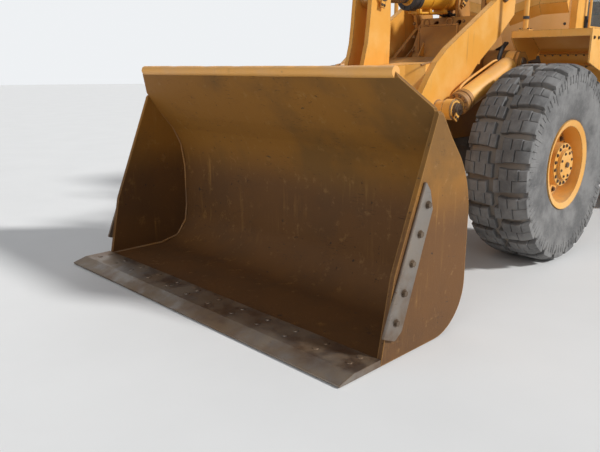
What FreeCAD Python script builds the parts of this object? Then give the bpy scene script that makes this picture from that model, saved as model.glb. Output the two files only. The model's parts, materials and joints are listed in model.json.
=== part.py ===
import FreeCAD, Part
import math
import os

# Articulated wheel loader with a Z-bar bucket linkage, in millimetres.
# While it is modelled, X is forward from the front axle, Y is left and Z is up from the floor.
# Every piece is moved along X at the end, so that the origin lies under the middle of the machine.

# Overall sizes
EDGE_TIP_X = 2950.0            # front end of the cutting edge
TAIL_X = -5150.0               # rear end of the counterweight
WHEELBASE = 3200.0
PIVOT_X = -1600.0              # articulation pivot
TRACK = 2100.0
ROOF_TOP = 3360.0
ORIGIN_SHIFT = -(EDGE_TIP_X + TAIL_X) / 2.0
REAR_AXLE_X = -WHEELBASE

# Clearances
RUN_GAP = 1.0                  # radial, between a pin and its bore
SIDE_GAP = 6.0                 # along a pin, between pieces that turn on it
SLIDE_GAP = 1.0                # radial, between a piston rod and its barrel

# Tyres and rims
TYRE_R = 800.0
TYRE_W = 520.0
LUG_DEPTH = 42.0
LUG_COUNT = 22
LUG_FRACTION = 0.62            # of one pitch
SEAT_R = 326.0
RIM_WALL = 16.0
DISC_OFFSET = 60.0             # of the rim's disc, outboard of the tyre's centre
HUB_R = 232.0

# Widths between the tyres' inner sides
TYRE_IN = (TRACK - TYRE_W) / 2.0
LIFT_Y = TYRE_IN - 170.0       # middle of a lift cylinder
ARM_OUT = LIFT_Y - 120.0
ARM_IN = ARM_OUT - 54.0
TOWER_OUT = ARM_IN - 68.0
TOWER_IN = TOWER_OUT - 38.0
PEDESTAL_HALF = TOWER_IN - 40.0
FENDER_IN = TYRE_IN - 202.0
FENDER_OUT = TRACK / 2.0 + TYRE_W / 2.0 - 40.0
HOOD_HALF = TYRE_IN - 90.0
SADDLE_OUT = TYRE_IN - 220.0   # over the rear axle

# Front frame
PEDESTAL_TOP = 2013.0
DECK_TOP = 1657.0              # between the towers
PLATE = 30.0
AXLE_R = 150.0
BOWL_R = 250.0                 # of the differential housing
BOWL_GAP = 12.0
AXLE_SEAT = 165.0              # above the axle's centre
SPINE_HALF = 330.0
HINGE_TOP = 1220.0
HINGE_LOW = 620.0
HINGE_PLATE = 56.0
HINGE_R = 150.0
HINGE_PIN_R = 48.0

# Steering cylinders
STEER_REAR = (-2060.0, 470.0)
STEER_FRONT = (-1100.0, 450.0)
STEER_Z = 890.0
STEER_BARREL_R = 42.0
STEER_ROD_R = 25.0
STEER_PIN_R = 22.0
STEER_GLAND = 640.0            # from the base pin
STEER_ROD_TAIL = 603.0         # behind the rod's eye

# Lift arms, in the plane of their outlines
ARM_PIN = (-230.0, 2170.0)
BUCKET_PIN = (1640.0, 440.0)
ARM_HUB_R = 125.0
ARM_PIN_R = 55.0
TOE_R = 108.0
TOE_PIN_R = 46.0
LIFT_EYE = (728.0, 1245.0)
LIFT_BASE = (-235.0, 1612.0)
ARM_OUTLINE = [
    (-420.0, 2150.0), (-414.0, 2022.0), (-107.0, 1775.0), (151.0, 1603.0), (1556.0, 372.0),
    (1726.0, 504.0), (981.0, 1346.0), (852.0, 1516.0), (774.0, 1607.0), (629.0, 1715.0),
    (-88.0, 2124.0), (-150.0, 2265.0), (-310.0, 2265.0),
]

# Lift cylinders
LIFT_BARREL_R = 85.0
LIFT_ROD_R = 45.0
LIFT_EYE_R = 78.0
LIFT_EYE_W = 86.0
LIFT_PIN_R = 40.0
LIFT_NECK = 113.0              # from the base pin to the barrel
LIFT_GLAND = 925.0             # from the base pin
LIFT_ROD_TAIL = 896.0          # behind the rod's eye

# Bell crank and bucket link
CRANK_PIN = (1060.0, 1390.0)
CRANK_TOP = (980.0, 2112.0)
CRANK_FOOT = (860.0, 761.0)
LINK_PIN = (1690.0, 800.0)
CRANK_IN = 60.0
CRANK_OUT = 98.0
CRANK_PIN_R = 50.0
LINK_W = 100.0
LINK_EYE_R = 88.0

# Bucket cylinder
TILT_BASE = (-240.0, 2180.0)
TILT_BARREL_R = 100.0
TILT_ROD_R = 48.0
TILT_GLAND = 755.0
TILT_ROD_TAIL = 677.0
TILT_EYE_W = 100.0
TILT_EYE_R = 100.0
TILT_PIN_R = 42.0
TILT_NECK = 160.0              # from the base pin to the barrel

# Bucket
BUCKET_HALF = 1460.0
LIP_HALF = 1250.0
LIP = (2306.0, 1548.0)
BEND = (2040.0, 1190.0)
FLOOR_Z = 6.0
SHEET = 25.0
EDGE_T = 40.0
SIDE_T = 30.0

# Hood, cab and rear frame
RAIL_IN = 340.0
RAIL_OUT = 380.0
RAIL_TOP = 1200.0
CAB_HALF = 760.0
CAB_FRONT = -1130.0
CAB_REAR = -2560.0
CAB_FLOOR = 1680.0
HOOD_FRONT = -2700.0
HOOD_REAR = -4800.0
HOOD_TOP = 2300.0
HOOD_WALL = 24.0


def vec(x, y, z):
    return FreeCAD.Vector(x, y, z)


def box(x0, x1, y0, y1, z0, z1):
    """Block between two corners, given in any order."""
    x0, x1 = sorted((x0, x1))
    y0, y1 = sorted((y0, y1))
    z0, z1 = sorted((z0, z1))
    return Part.makeBox(x1 - x0, y1 - y0, z1 - z0, vec(x0, y0, z0))


def prism(points, direction):
    wire = Part.makePolygon(points + [points[0]])
    return Part.Face(wire).extrude(direction)


def side_plate(outline, y0, y1):
    """Plate whose outline lies in the X-Z plane, between two heights of Y."""
    return prism([vec(x, y0, z) for x, z in outline], vec(0, y1 - y0, 0))


def level_plate(outline, z0, z1):
    return prism([vec(x, y, z0) for x, y in outline], vec(0, 0, z1 - z0))


def cross_plate(outline, x0, x1):
    return prism([vec(x0, y, z) for y, z in outline], vec(x1 - x0, 0, 0))


def rod(p0, p1, radius):
    start = vec(*p0)
    along = vec(*p1) - start
    return Part.makeCylinder(radius, along.Length, start, along)


def rod_y(place, radius, y0, y1):
    x, z = place
    return Part.makeCylinder(radius, y1 - y0, vec(x, y0, z), vec(0, 1, 0))


def ring_y(place, outer, inner, y0, y1):
    return rod_y(place, outer, y0, y1).cut(rod_y(place, inner, y0 - 1.0, y1 + 1.0))


def mirrored(shape):
    return shape.mirror(vec(0, 0, 0), vec(0, 1, 0))


def fused(pieces):
    """One solid of touching pieces, without the seams between them."""
    whole = pieces[0].fuse(pieces[1:])
    return whole.removeSplitter()


def both_sides(shape):
    return [shape, mirrored(shape)]


def toward(start, end, distance):
    """Point at a distance from start on the way to end, in the X-Z plane."""
    length = math.hypot(end[0] - start[0], end[1] - start[1])
    return (
        start[0] + (end[0] - start[0]) * distance / length,
        start[1] + (end[1] - start[1]) * distance / length,
    )


def save(name, pieces):
    """Write one node, moved so that the origin is under the machine's middle."""
    shape = Part.makeCompound(pieces) if len(pieces) > 1 else pieces[0]
    shape = shape.copy()
    shape.translate(vec(ORIGIN_SHIFT, 0, 0))
    shape.exportStep(os.path.join("parts", name + ".step"))


os.makedirs("parts", exist_ok=True)


# Tyres and rims
def tyre_ring(offset, radius):
    """Corners of a polygon about the wheel's axle, one side to each pitch of the lugs."""
    step = 2.0 * math.pi / LUG_COUNT
    corners = []
    for index in range(LUG_COUNT):
        angle = -math.pi / 2.0 + index * step
        corners.append(vec(radius * math.cos(angle), offset, radius * math.sin(angle)))
    return corners


def polygon_body(rings):
    """Solid between rings of corners, from the first ring to the last."""
    faces = []
    for near, far in zip(rings, rings[1:]):
        for index in range(len(near)):
            after = (index + 1) % len(near)
            corners = [near[index], near[after], far[after], far[index]]
            faces.append(Part.Face(Part.makePolygon(corners + [corners[0]])))
    for ring in (rings[0], rings[-1]):
        faces.append(Part.Face(Part.makePolygon(ring + [ring[0]])))
    shell = Part.makeShell(faces)
    shell.sewShape()
    return Part.makeSolid(shell)


def lug(side, angle):
    """One cross lug from the tread's middle over the shoulder."""
    pitch = 2.0 * math.pi / LUG_COUNT
    tip = TYRE_R * math.cos(pitch * LUG_FRACTION / 2.0)
    half_width = TYRE_R * math.sin(pitch * LUG_FRACTION / 2.0)
    root = TYRE_R - LUG_DEPTH
    half = TYRE_W / 2.0
    section = [
        (4.0, root - 30.0), (4.0, tip), (half - 52.0, tip), (half - 10.0, root - 60.0),
        (half - 60.0, root - 60.0),
    ]
    outline = [vec(-half_width, side * offset, radius) for offset, radius in section]
    body = prism(outline, vec(2.0 * half_width, 0, 0))
    body.rotate(vec(0, 0, 0), vec(0, 1, 0), math.degrees(angle))
    return body


def wheel_profile(points, x, y):
    """Solid of revolution about the wheel's axle from (offset, radius) points."""
    outline = [vec(x, y + offset, TYRE_R + radius) for offset, radius in points]
    face = Part.Face(Part.makePolygon(outline + [outline[0]]))
    return face.revolve(vec(x, y, TYRE_R), vec(0, 1, 0), 360)


def tyre_body():
    """Tyre about the origin: its carcass and two staggered rows of lugs."""
    half = TYRE_W / 2.0
    root = TYRE_R - LUG_DEPTH
    sections = [
        (half - 62.0, SEAT_R + 6.0), (half, 540.0), (half - 20.0, root - 50.0), (half - 62.0, root),
    ]
    rings = [tyre_ring(-offset, radius) for offset, radius in sections]
    rings += [tyre_ring(offset, radius) for offset, radius in reversed(sections)]
    carcass = polygon_body(rings)
    pitch = 2.0 * math.pi / LUG_COUNT
    lugs = []
    for index in range(LUG_COUNT):
        lugs.append(lug(-1.0, (index + 0.25) * pitch))
        lugs.append(lug(1.0, (index + 0.75) * pitch))
    bore = Part.makeCylinder(SEAT_R, TYRE_W + 20.0, vec(0, -half - 10.0, 0), vec(0, 1, 0))
    return carcass.fuse(lugs).removeSplitter().cut(bore)


def tyre(x, y):
    body = TYRE_BODY.copy()
    body.translate(vec(x, y, TYRE_R))
    return body


def rim(x, y, outward):
    """Rim with well and flanges, its disc and the hub's planetary cover."""
    half = TYRE_W / 2.0 - 60.0
    shell = wheel_profile(
        [
            (-half, SEAT_R), (-half - 18.0, SEAT_R + 36.0), (-half - 34.0, SEAT_R + 36.0),
            (-half - 20.0, SEAT_R - RIM_WALL), (half + 20.0, SEAT_R - RIM_WALL),
            (half + 34.0, SEAT_R + 36.0), (half + 18.0, SEAT_R + 36.0), (half, SEAT_R),
        ], x, y)
    disc_y = y + outward * DISC_OFFSET
    disc = rod_y((x, TYRE_R), SEAT_R - RIM_WALL + 1.0, disc_y - 14.0, disc_y + 14.0)
    cover_y = disc_y + outward * 14.0
    cover = rod_y((x, TYRE_R), 175.0, min(cover_y, cover_y + outward * 120.0),
                  max(cover_y, cover_y + outward * 120.0))
    cap_y = cover_y + outward * 120.0
    cap = rod_y((x, TYRE_R), 120.0, min(cap_y, cap_y + outward * 26.0),
                max(cap_y, cap_y + outward * 26.0))
    return fused([shell, disc, cover, cap])


WHEELS = (
    ("front_left", 0.0, 1.0), ("front_right", 0.0, -1.0),
    ("rear_left", REAR_AXLE_X, 1.0), ("rear_right", REAR_AXLE_X, -1.0),
)
TYRE_BODY = tyre_body()
for wheel_name, wheel_x, side in WHEELS:
    wheel_y = side * TRACK / 2.0
    save("tyre_" + wheel_name, [tyre(wheel_x, wheel_y)])
    save("rim_" + wheel_name, [rim(wheel_x, wheel_y, side)])


# Axles: a tube with a round differential housing and wheel-end drums
def axle(x, seat_in, seat_out):
    reach = TRACK / 2.0 + DISC_OFFSET - 14.0 - SIDE_GAP
    centre = (x, TYRE_R)
    tube = rod_y(centre, AXLE_R, -reach + 180.0, reach - 180.0)
    drums = both_sides(rod_y(centre, HUB_R, reach - 200.0, reach))
    bowl = rod((x - 165.0, 0, TYRE_R), (x + 185.0, 0, TYRE_R), BOWL_R)
    nose = rod((x - 340.0, 0, TYRE_R), (x - 140.0, 0, TYRE_R), 110.0)
    pads = both_sides(box(x - 120.0, x + 120.0, seat_in, seat_out, TYRE_R + 20.0, TYRE_R + AXLE_SEAT))
    return fused([tube, bowl, nose] + drums + pads)


save("front_axle", [axle(0.0, TOWER_IN - 50.0, TOWER_OUT + 50.0)])

# Front frame: two tower plates, cross plates, spine and hinge plates
TOWER_FOOT = TYRE_R + AXLE_SEAT
TOWER_OUTLINE = [
    (-700.0, TOWER_FOOT), (430.0, TOWER_FOOT), (560.0, 1110.0), (520.0, 1500.0), (420.0, 1600.0),
    (190.0, DECK_TOP), (-150.0, 1930.0), (-110.0, 2060.0), (-110.0, 2210.0), (-170.0, 2285.0),
    (-290.0, 2285.0), (-350.0, 2210.0), (-430.0, 1880.0), (-520.0, 1640.0), (-620.0, 1400.0),
    (-700.0, 1300.0),
]
tower = side_plate(TOWER_OUTLINE, TOWER_IN, TOWER_OUT)
base_x, base_z = LIFT_BASE
ear_near = LIFT_Y + LIFT_EYE_W / 2.0 + SIDE_GAP
ear_far = ear_near + PLATE
tower = tower.fuse(rod_y(LIFT_BASE, 100.0, TOWER_OUT - 1.0, LIFT_Y - LIFT_EYE_W / 2.0 - SIDE_GAP))
outer_ear = side_plate(
    [(base_x - 115.0, base_z - 172.0), (base_x + 55.0, base_z - 172.0), (base_x + 80.0, base_z - 40.0),
     (base_x + 85.0, base_z + 20.0), (base_x + 45.0, base_z + 85.0), (base_x - 45.0, base_z + 85.0),
     (base_x - 115.0, base_z + 20.0)],
    ear_near, ear_far)
ear_shelf = box(base_x - 115.0, base_x + 55.0, TOWER_OUT - 1.0, ear_far, base_z - 202.0, base_z - 172.0)
lift_base_pin = rod_y(LIFT_BASE, LIFT_PIN_R, TOWER_IN, ear_far + 14.0)
arm_trunnion = rod_y(ARM_PIN, ARM_PIN_R, TOWER_IN, ARM_OUT + 5.0)
fender_beam = cross_plate(
    [(TOWER_OUT - 1.0, 1330.0), (TOWER_OUT - 1.0, 1500.0), (FENDER_IN, 1815.0), (FENDER_IN, 1690.0)],
    -560.0, -530.0)
tower_side = fused([tower, outer_ear, ear_shelf, lift_base_pin, arm_trunnion, fender_beam])
front_sheet = side_plate(
    [(560.0, 1110.0), (520.0, 1500.0), (420.0, 1600.0), (190.0, DECK_TOP), (-430.0, DECK_TOP),
     (-430.0, DECK_TOP - PLATE), (186.0, DECK_TOP - PLATE), (405.0, 1573.0), (491.0, 1487.0),
     (529.0, 1115.0)],
    -TOWER_IN, TOWER_IN)
belly_sheet = side_plate(
    [(430.0, TOWER_FOOT), (560.0, 1110.0), (529.0, 1115.0), (415.0, TOWER_FOOT + PLATE),
     (-700.0, TOWER_FOOT + PLATE), (-700.0, TOWER_FOOT)], -TOWER_IN, TOWER_IN)
axle_room = box(-190.0, 200.0, -270.0, 270.0, TOWER_FOOT - 10.0, TOWER_FOOT + 100.0)
belly_sheet = belly_sheet.cut(axle_room)
back_sheet = box(-560.0, -530.0, -TOWER_IN, TOWER_IN, TOWER_FOOT, 1540.0)
PEDESTAL_TOE = 28.0
PEDESTAL_BROW = -148.0
PEDESTAL_BACK = -420.0
pedestal_outline = [
    (PEDESTAL_TOE, DECK_TOP - 5.0), (PEDESTAL_BROW, PEDESTAL_TOP), (PEDESTAL_BACK, PEDESTAL_TOP),
    (PEDESTAL_BACK, DECK_TOP - 5.0),
]
pedestal_room = [
    (PEDESTAL_TOE - 32.0, DECK_TOP - 50.0), (PEDESTAL_BROW - 20.0, PEDESTAL_TOP - PLATE),
    (PEDESTAL_BACK + PLATE, PEDESTAL_TOP - PLATE), (PEDESTAL_BACK + PLATE, DECK_TOP - 50.0),
]
pedestal = side_plate(pedestal_outline, -PEDESTAL_HALF, PEDESTAL_HALF)
pedestal = pedestal.cut(side_plate(pedestal_room, -PEDESTAL_HALF + PLATE, PEDESTAL_HALF - PLATE))
hole_z = PEDESTAL_TOP - 53.0
for hole_y in (-0.4 * PEDESTAL_HALF, 0.4 * PEDESTAL_HALF):
    pedestal = pedestal.cut(rod((-300.0, hole_y, hole_z), (100.0, hole_y, hole_z), 24.0))
pedestal_webs = both_sides(box(
    PEDESTAL_BACK + 20.0, PEDESTAL_BACK + 220.0, PEDESTAL_HALF - 1.0, TOWER_IN + 1.0,
    hole_z - PLATE, hole_z))
toe_gussets = both_sides(prism(
    [vec(10.0, PEDESTAL_HALF - 20.0, DECK_TOP - 1.0), vec(110.0, PEDESTAL_HALF - 20.0, DECK_TOP - 1.0),
     vec(-30.0, PEDESTAL_HALF - 20.0, DECK_TOP + 110.0)], vec(0, 14.0, 0)))
tilt_x, tilt_z = TILT_BASE
tilt_ears = both_sides(side_plate(
    [(tilt_x - 130.0, PEDESTAL_TOP - 1.0), (tilt_x + 90.0, PEDESTAL_TOP - 1.0),
     (tilt_x + 85.0, tilt_z + 30.0), (tilt_x + 45.0, tilt_z + 85.0), (tilt_x - 45.0, tilt_z + 85.0),
     (tilt_x - 90.0, tilt_z + 30.0)],
    TILT_EYE_W / 2.0 + SIDE_GAP, TILT_EYE_W / 2.0 + SIDE_GAP + PLATE))
tilt_pin = rod_y(TILT_BASE, TILT_PIN_R, -TILT_EYE_W / 2.0 - SIDE_GAP - PLATE - 12.0,
                 TILT_EYE_W / 2.0 + SIDE_GAP + PLATE + 12.0)
spine_sides = both_sides(side_plate(
    [(-1350.0, HINGE_LOW), (-700.0, HINGE_LOW), (-400.0, TOWER_FOOT), (-400.0, HINGE_TOP),
     (-1350.0, HINGE_TOP)], SPINE_HALF - PLATE, SPINE_HALF))
spine_top = level_plate(
    [(-400.0, -SPINE_HALF), (-400.0, SPINE_HALF), (-1350.0, SPINE_HALF), (PIVOT_X, HINGE_R),
     (PIVOT_X, -HINGE_R), (-1350.0, -SPINE_HALF)], HINGE_TOP - HINGE_PLATE, HINGE_TOP)
spine_low = level_plate(
    [(-700.0, -SPINE_HALF), (-700.0, SPINE_HALF), (-1350.0, SPINE_HALF), (PIVOT_X, HINGE_R),
     (PIVOT_X, -HINGE_R), (-1350.0, -SPINE_HALF)], HINGE_LOW, HINGE_LOW + HINGE_PLATE)
hinge_rounds = [
    rod((PIVOT_X, 0, HINGE_TOP - HINGE_PLATE), (PIVOT_X, 0, HINGE_TOP), HINGE_R),
    rod((PIVOT_X, 0, HINGE_LOW), (PIVOT_X, 0, HINGE_LOW + HINGE_PLATE), HINGE_R),
]
hinge_bore = rod((PIVOT_X, 0, HINGE_LOW - 1.0), (PIVOT_X, 0, HINGE_TOP + 1.0), HINGE_PIN_R + RUN_GAP)
spine_wings = both_sides(box(-700.0, -670.0, SPINE_HALF - 1.0, TOWER_IN + 1.0, TOWER_FOOT, HINGE_TOP))
front_body = fused(
    [front_sheet, belly_sheet, back_sheet, pedestal, tilt_pin, spine_top, spine_low]
    + pedestal_webs + toe_gussets + both_sides(tower_side) + tilt_ears + spine_sides + hinge_rounds
    + spine_wings)
steer_lug_front = level_plate([(-1200.0, SPINE_HALF - 1.0), (-1000.0, SPINE_HALF - 1.0),
                               (-1040.0, 500.0), (-1160.0, 500.0)], STEER_Z - 95.0, STEER_Z - 60.0)
front_body = front_body.fuse(both_sides(steer_lug_front))
front_body = front_body.cut(hinge_bore)
bowl_room = rod((-177.0, 0, TYRE_R), (197.0, 0, TYRE_R), BOWL_R + BOWL_GAP)
front_body = front_body.cut(bowl_room)
save("front_frame", [front_body.removeSplitter()])

# Front fenders with their lamp posts, and the headlamps
FENDER_TOP = 1872.0
FENDER_SKIN = 22.0
FENDER_LIP = -222.0
FENDER_LIP_H = 60.0
FENDER_BENDS = [(-560.0, FENDER_TOP), (-760.0, 1745.0), (-900.0, 1560.0), (-955.0, 1330.0)]
bend_ways = ((0.28, 1.0), (0.68, 0.76), (0.93, 0.5), (1.0, 0.0))
inner_bends = []
for (bend_x, bend_z), (way_x, way_z) in zip(FENDER_BENDS, bend_ways):
    inner_bends.append((bend_x + FENDER_SKIN * way_x, bend_z - FENDER_SKIN * way_z))
lip_back = FENDER_LIP - FENDER_SKIN
lip_low = FENDER_TOP - FENDER_LIP_H
fender_section = (
    [(FENDER_LIP, lip_low), (FENDER_LIP, FENDER_TOP)] + FENDER_BENDS + inner_bends[::-1]
    + [(lip_back, FENDER_TOP - FENDER_SKIN), (lip_back, lip_low)])
fender_sheet = side_plate(fender_section, FENDER_IN, FENDER_OUT)
fender_flange = side_plate(
    [(FENDER_LIP, 1604.0), (FENDER_LIP, FENDER_TOP)] + FENDER_BENDS
    + [(-900.0, 1330.0), (-760.0, 1420.0), (-500.0, 1530.0)], FENDER_OUT - 8.0, FENDER_OUT + 6.0)
fender_gusset = side_plate(
    [(FENDER_LIP, lip_low), (FENDER_LIP, FENDER_TOP - 1.0), (-560.0, FENDER_TOP - 1.0),
     (-750.0, 1738.0), (-690.0, 1640.0), (-460.0, 1610.0), (-380.0, 1640.0)], FENDER_IN, FENDER_IN + 16.0)
LAMP_POST = (FENDER_LIP - 38.0, FENDER_IN + 104.0)
LAMP_POST_R = 21.0
LAMP_Z = (2420.0, 2600.0)
post_x, post_y = LAMP_POST
post_foot = box(
    post_x - 45.0, post_x + 36.0, post_y - 50.0, post_y + 50.0, FENDER_TOP - 1.0, FENDER_TOP + 12.0)
lamp_post = rod((post_x, post_y, FENDER_TOP - 1.0), (post_x, post_y, LAMP_Z[0]), LAMP_POST_R)
fender = fused([fender_sheet, fender_flange, fender_gusset, post_foot, lamp_post])
save("front_fenders", both_sides(fender))
lamp_mid = (LAMP_Z[0] + LAMP_Z[1]) / 2.0
lamp_body = box(post_x - 30.0, post_x + 100.0, post_y - 112.0, post_y + 112.0, LAMP_Z[0], LAMP_Z[1])
lamp_face = rod((post_x + 99.0, post_y, lamp_mid), (post_x + 112.0, post_y, lamp_mid), 72.0)
save("headlamps", both_sides(fused([lamp_body, lamp_face])))

# Lift arms: two side plates joined by the crank's carrier
arm = side_plate(ARM_OUTLINE, ARM_IN, ARM_OUT)
hub = rod_y(ARM_PIN, ARM_HUB_R, TOWER_OUT + SIDE_GAP, ARM_OUT)
toe = rod_y(BUCKET_PIN, TOE_R, ARM_IN - 5.0, ARM_OUT + 5.0)
eye_boss = rod_y(LIFT_EYE, 66.0, ARM_OUT - 1.0, LIFT_Y - LIFT_EYE_W / 2.0 - SIDE_GAP)
arm = arm.fuse([hub, toe, eye_boss])
arm = arm.cut(rod_y(ARM_PIN, ARM_PIN_R + RUN_GAP, TOWER_OUT, ARM_OUT + 60.0))
arm = arm.cut(rod_y(BUCKET_PIN, TOE_PIN_R + RUN_GAP, ARM_IN - 20.0, ARM_OUT + 20.0))
lower_tab = side_plate(
    [(100.0, 1634.0), (118.0, 1590.0), (140.0, 1596.0), (160.0, 1600.0)], ARM_IN + 8.0, ARM_OUT - 8.0)
arm_side = fused([arm, lower_tab])
ear_in = CRANK_OUT + SIDE_GAP
carrier_plan = [
    (640.0, -ARM_IN - 1.0), (640.0, ARM_IN + 1.0), (850.0, ARM_IN + 1.0), (960.0, 0.75 * ARM_IN),
    (1290.0, 165.0), (1290.0, -165.0), (960.0, -0.75 * ARM_IN), (850.0, -ARM_IN - 1.0),
]
carrier = level_plate(carrier_plan, 1240.0, 1610.0)
carrier_side = side_plate(
    [(640.0, 1400.0), (640.0, 1545.0), (710.0, 1606.0), (800.0, 1600.0), (930.0, 1590.0), (1290.0, 1552.0),
     (1290.0, 1450.0), (1200.0, 1270.0), (1000.0, 1250.0), (760.0, 1290.0)], -ARM_IN - 1.0, ARM_IN + 1.0)
carrier = carrier.common(carrier_side)
crank_slot = side_plate(
    [(790.0, 1200.0), (790.0, 1400.0), (664.0, 1566.0), (640.0, 1700.0), (1400.0, 1700.0), (1400.0, 1200.0)],
    -ear_in, ear_in)
carrier = carrier.cut(crank_slot)
crank_pin = rod_y(CRANK_PIN, CRANK_PIN_R, -165.0, 165.0)
lift_arms = fused(both_sides(arm_side) + [carrier, crank_pin])
save("lift_arms", [lift_arms])


# Bell crank: two plates joined by the hub tube and stiffened at the top
def crank_plate(y0, y1):
    outline = [
        (862.0, 2110.0), (853.0, 1880.0), (855.0, 1750.0), (861.0, 1530.0), (872.0, 1380.0),
        (770.0, 790.0), (800.0, 690.0), (905.0, 680.0), (955.0, 750.0), (1175.0, 1260.0),
        (1215.0, 1400.0), (1200.0, 1530.0), (1137.0, 1750.0), (1120.0, 1880.0), (1098.0, 2110.0),
    ]
    plate = side_plate(outline, y0, y1)
    return plate.fuse([rod_y(CRANK_TOP, 118.0, y0, y1)])


crank_hub = rod_y(CRANK_PIN, 105.0, -CRANK_IN - 1.0, CRANK_IN + 1.0)
top_caps = both_sides(rod_y(CRANK_TOP, 62.0, CRANK_OUT - 1.0, CRANK_OUT + 20.0))
foot_caps = both_sides(rod_y(CRANK_FOOT, 58.0, CRANK_OUT - 1.0, CRANK_OUT + 16.0))
crank = fused(
    both_sides(crank_plate(CRANK_IN, CRANK_OUT)) + [crank_hub] + top_caps + foot_caps)
crank = crank.cut(rod_y(CRANK_PIN, CRANK_PIN_R + RUN_GAP, -200.0, 200.0))
save("bell_crank", [crank.removeSplitter()])

# Bucket link, carried at the bucket's upper pin
link_bar = side_plate(
    [(860.0, 800.0), (1300.0, 850.0), (1690.0, 850.0), (1690.0, 750.0), (1300.0, 735.0),
     (860.0, 720.0)], -LINK_W / 2.0, LINK_W / 2.0)
link = fused([link_bar, rod_y(CRANK_FOOT, LINK_EYE_R, -LINK_W / 2.0, LINK_W / 2.0),
              rod_y(LINK_PIN, LINK_EYE_R, -LINK_W / 2.0, LINK_W / 2.0)])
link = link.cut(rod_y(LINK_PIN, 44.0 + RUN_GAP, -100.0, 100.0))
link = link.cut(rod_y(CRANK_FOOT, 46.0, -100.0, 100.0))
save("bucket_link", [link])


# Bucket shell: rolled sheet between side plates, with a leaning spill guard
def arc_edge(a, b, c):
    return Part.Arc(vec(a[0], 0, a[1]), vec(b[0], 0, b[1]), vec(c[0], 0, c[1])).toShape()


def line_edge(a, b):
    return Part.makeLine(vec(a[0], 0, a[1]), vec(b[0], 0, b[1]))


def bucket_profile(inset):
    """Closed section of the bucket's outside, or of its inside when inset by the sheet."""
    floor = FLOOR_Z + inset
    heel = (2120.0, floor)
    low = (1815.0 + inset, 330.0)
    high = (1815.0 + inset, 700.0)
    shoulder = (1935.0 + 0.8 * inset, 1068.0 - 0.6 * inset)
    bend = (BEND[0] + 0.6 * inset, BEND[1] - 0.8 * inset)
    lip = (LIP[0], LIP[1])
    mouth = (EDGE_TIP_X - 330.0, floor)
    if inset > 0.0:
        lip = (LIP[0] + 0.8 * inset, LIP[1] - 0.6 * inset)
        mouth = (EDGE_TIP_X + 400.0, floor)
    mid_low = (1900.0 + 0.7 * inset, 98.0 + 0.7 * inset)
    mid_high = (1846.0 + 0.9 * inset, 895.0 - 0.3 * inset)
    edges = [
        line_edge(mouth, heel), arc_edge(heel, mid_low, low), line_edge(low, high),
        arc_edge(high, mid_high, shoulder), line_edge(shoulder, bend), line_edge(bend, lip),
    ]
    if inset > 0.0:
        corner = (mouth[0], lip[1])
        edges += [line_edge(lip, corner), line_edge(corner, mouth)]
    else:
        edges.append(line_edge(lip, mouth))
    return Part.Face(Part.Wire(edges))


outside = bucket_profile(0.0).extrude(vec(0, 2 * BUCKET_HALF, 0))
outside.translate(vec(0, -BUCKET_HALF, 0))
inner_half = BUCKET_HALF - SIDE_T
inside = bucket_profile(SHEET).extrude(vec(0, 2 * inner_half, 0))
inside.translate(vec(0, -inner_half, 0))
shell = outside.cut(inside)
front_trim = side_plate(
    [(2140.0, 1800.0), (2140.0, 1338.0), (2178.0, 1338.0), (2208.0, 1262.0), (2640.0, 200.0),
     (2760.0, FLOOR_Z + EDGE_T), (3300.0, FLOOR_Z + EDGE_T), (3300.0, 1800.0)],
    inner_half, BUCKET_HALF + 10.0)
for cutter in both_sides(front_trim):
    shell = shell.cut(cutter)
corner_drop = 225.0
corner_run = BUCKET_HALF - LIP_HALF
corner_cut = cross_plate(
    [(LIP_HALF, LIP[1] + 1.0), (BUCKET_HALF + 5.0, LIP[1] - corner_drop * 1.02),
     (BUCKET_HALF + 5.0, LIP[1] + 40.0), (LIP_HALF, LIP[1] + 40.0)], 1900.0, 2500.0)
for cutter in both_sides(corner_cut):
    shell = shell.cut(cutter)
lip_bead = rod((LIP[0] - 4.0, -LIP_HALF, LIP[1] - 6.0), (LIP[0] - 4.0, LIP_HALF, LIP[1] - 6.0), 30.0)
lug_outline = [
    (1835.0, 150.0), (1700.0, 300.0), (1560.0, 360.0), (1530.0, 450.0), (1570.0, 530.0),
    (1700.0, 560.0), (1835.0, 760.0),
]
lugs = []
for y0, y1 in ((ARM_IN - 5.0 - SIDE_GAP - 32.0, ARM_IN - 5.0 - SIDE_GAP),
               (ARM_OUT + 5.0 + SIDE_GAP, ARM_OUT + 5.0 + SIDE_GAP + 32.0)):
    lugs += both_sides(side_plate(lug_outline, y0, y1))
toe_pins = both_sides(rod_y(BUCKET_PIN, TOE_PIN_R, ARM_IN - 5.0 - SIDE_GAP - 32.0,
                            ARM_OUT + 5.0 + SIDE_GAP + 46.0))
link_lug_outline = [
    (1835.0, 560.0), (1680.0, 700.0), (1600.0, 760.0), (1595.0, 850.0), (1660.0, 905.0),
    (1740.0, 900.0), (1880.0, 960.0),
]
link_lugs = both_sides(side_plate(link_lug_outline, LINK_W / 2.0 + SIDE_GAP,
                                  LINK_W / 2.0 + SIDE_GAP + 34.0))
link_pin = rod_y(LINK_PIN, 44.0, -LINK_W / 2.0 - SIDE_GAP - 46.0, LINK_W / 2.0 + SIDE_GAP + 46.0)
lug_set = fused([link_pin] + link_lugs).cut(inside)
shell = fused([shell, lip_bead, lug_set] + [item.cut(inside) for item in lugs] + toe_pins)
save("bucket_shell", [shell])

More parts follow.
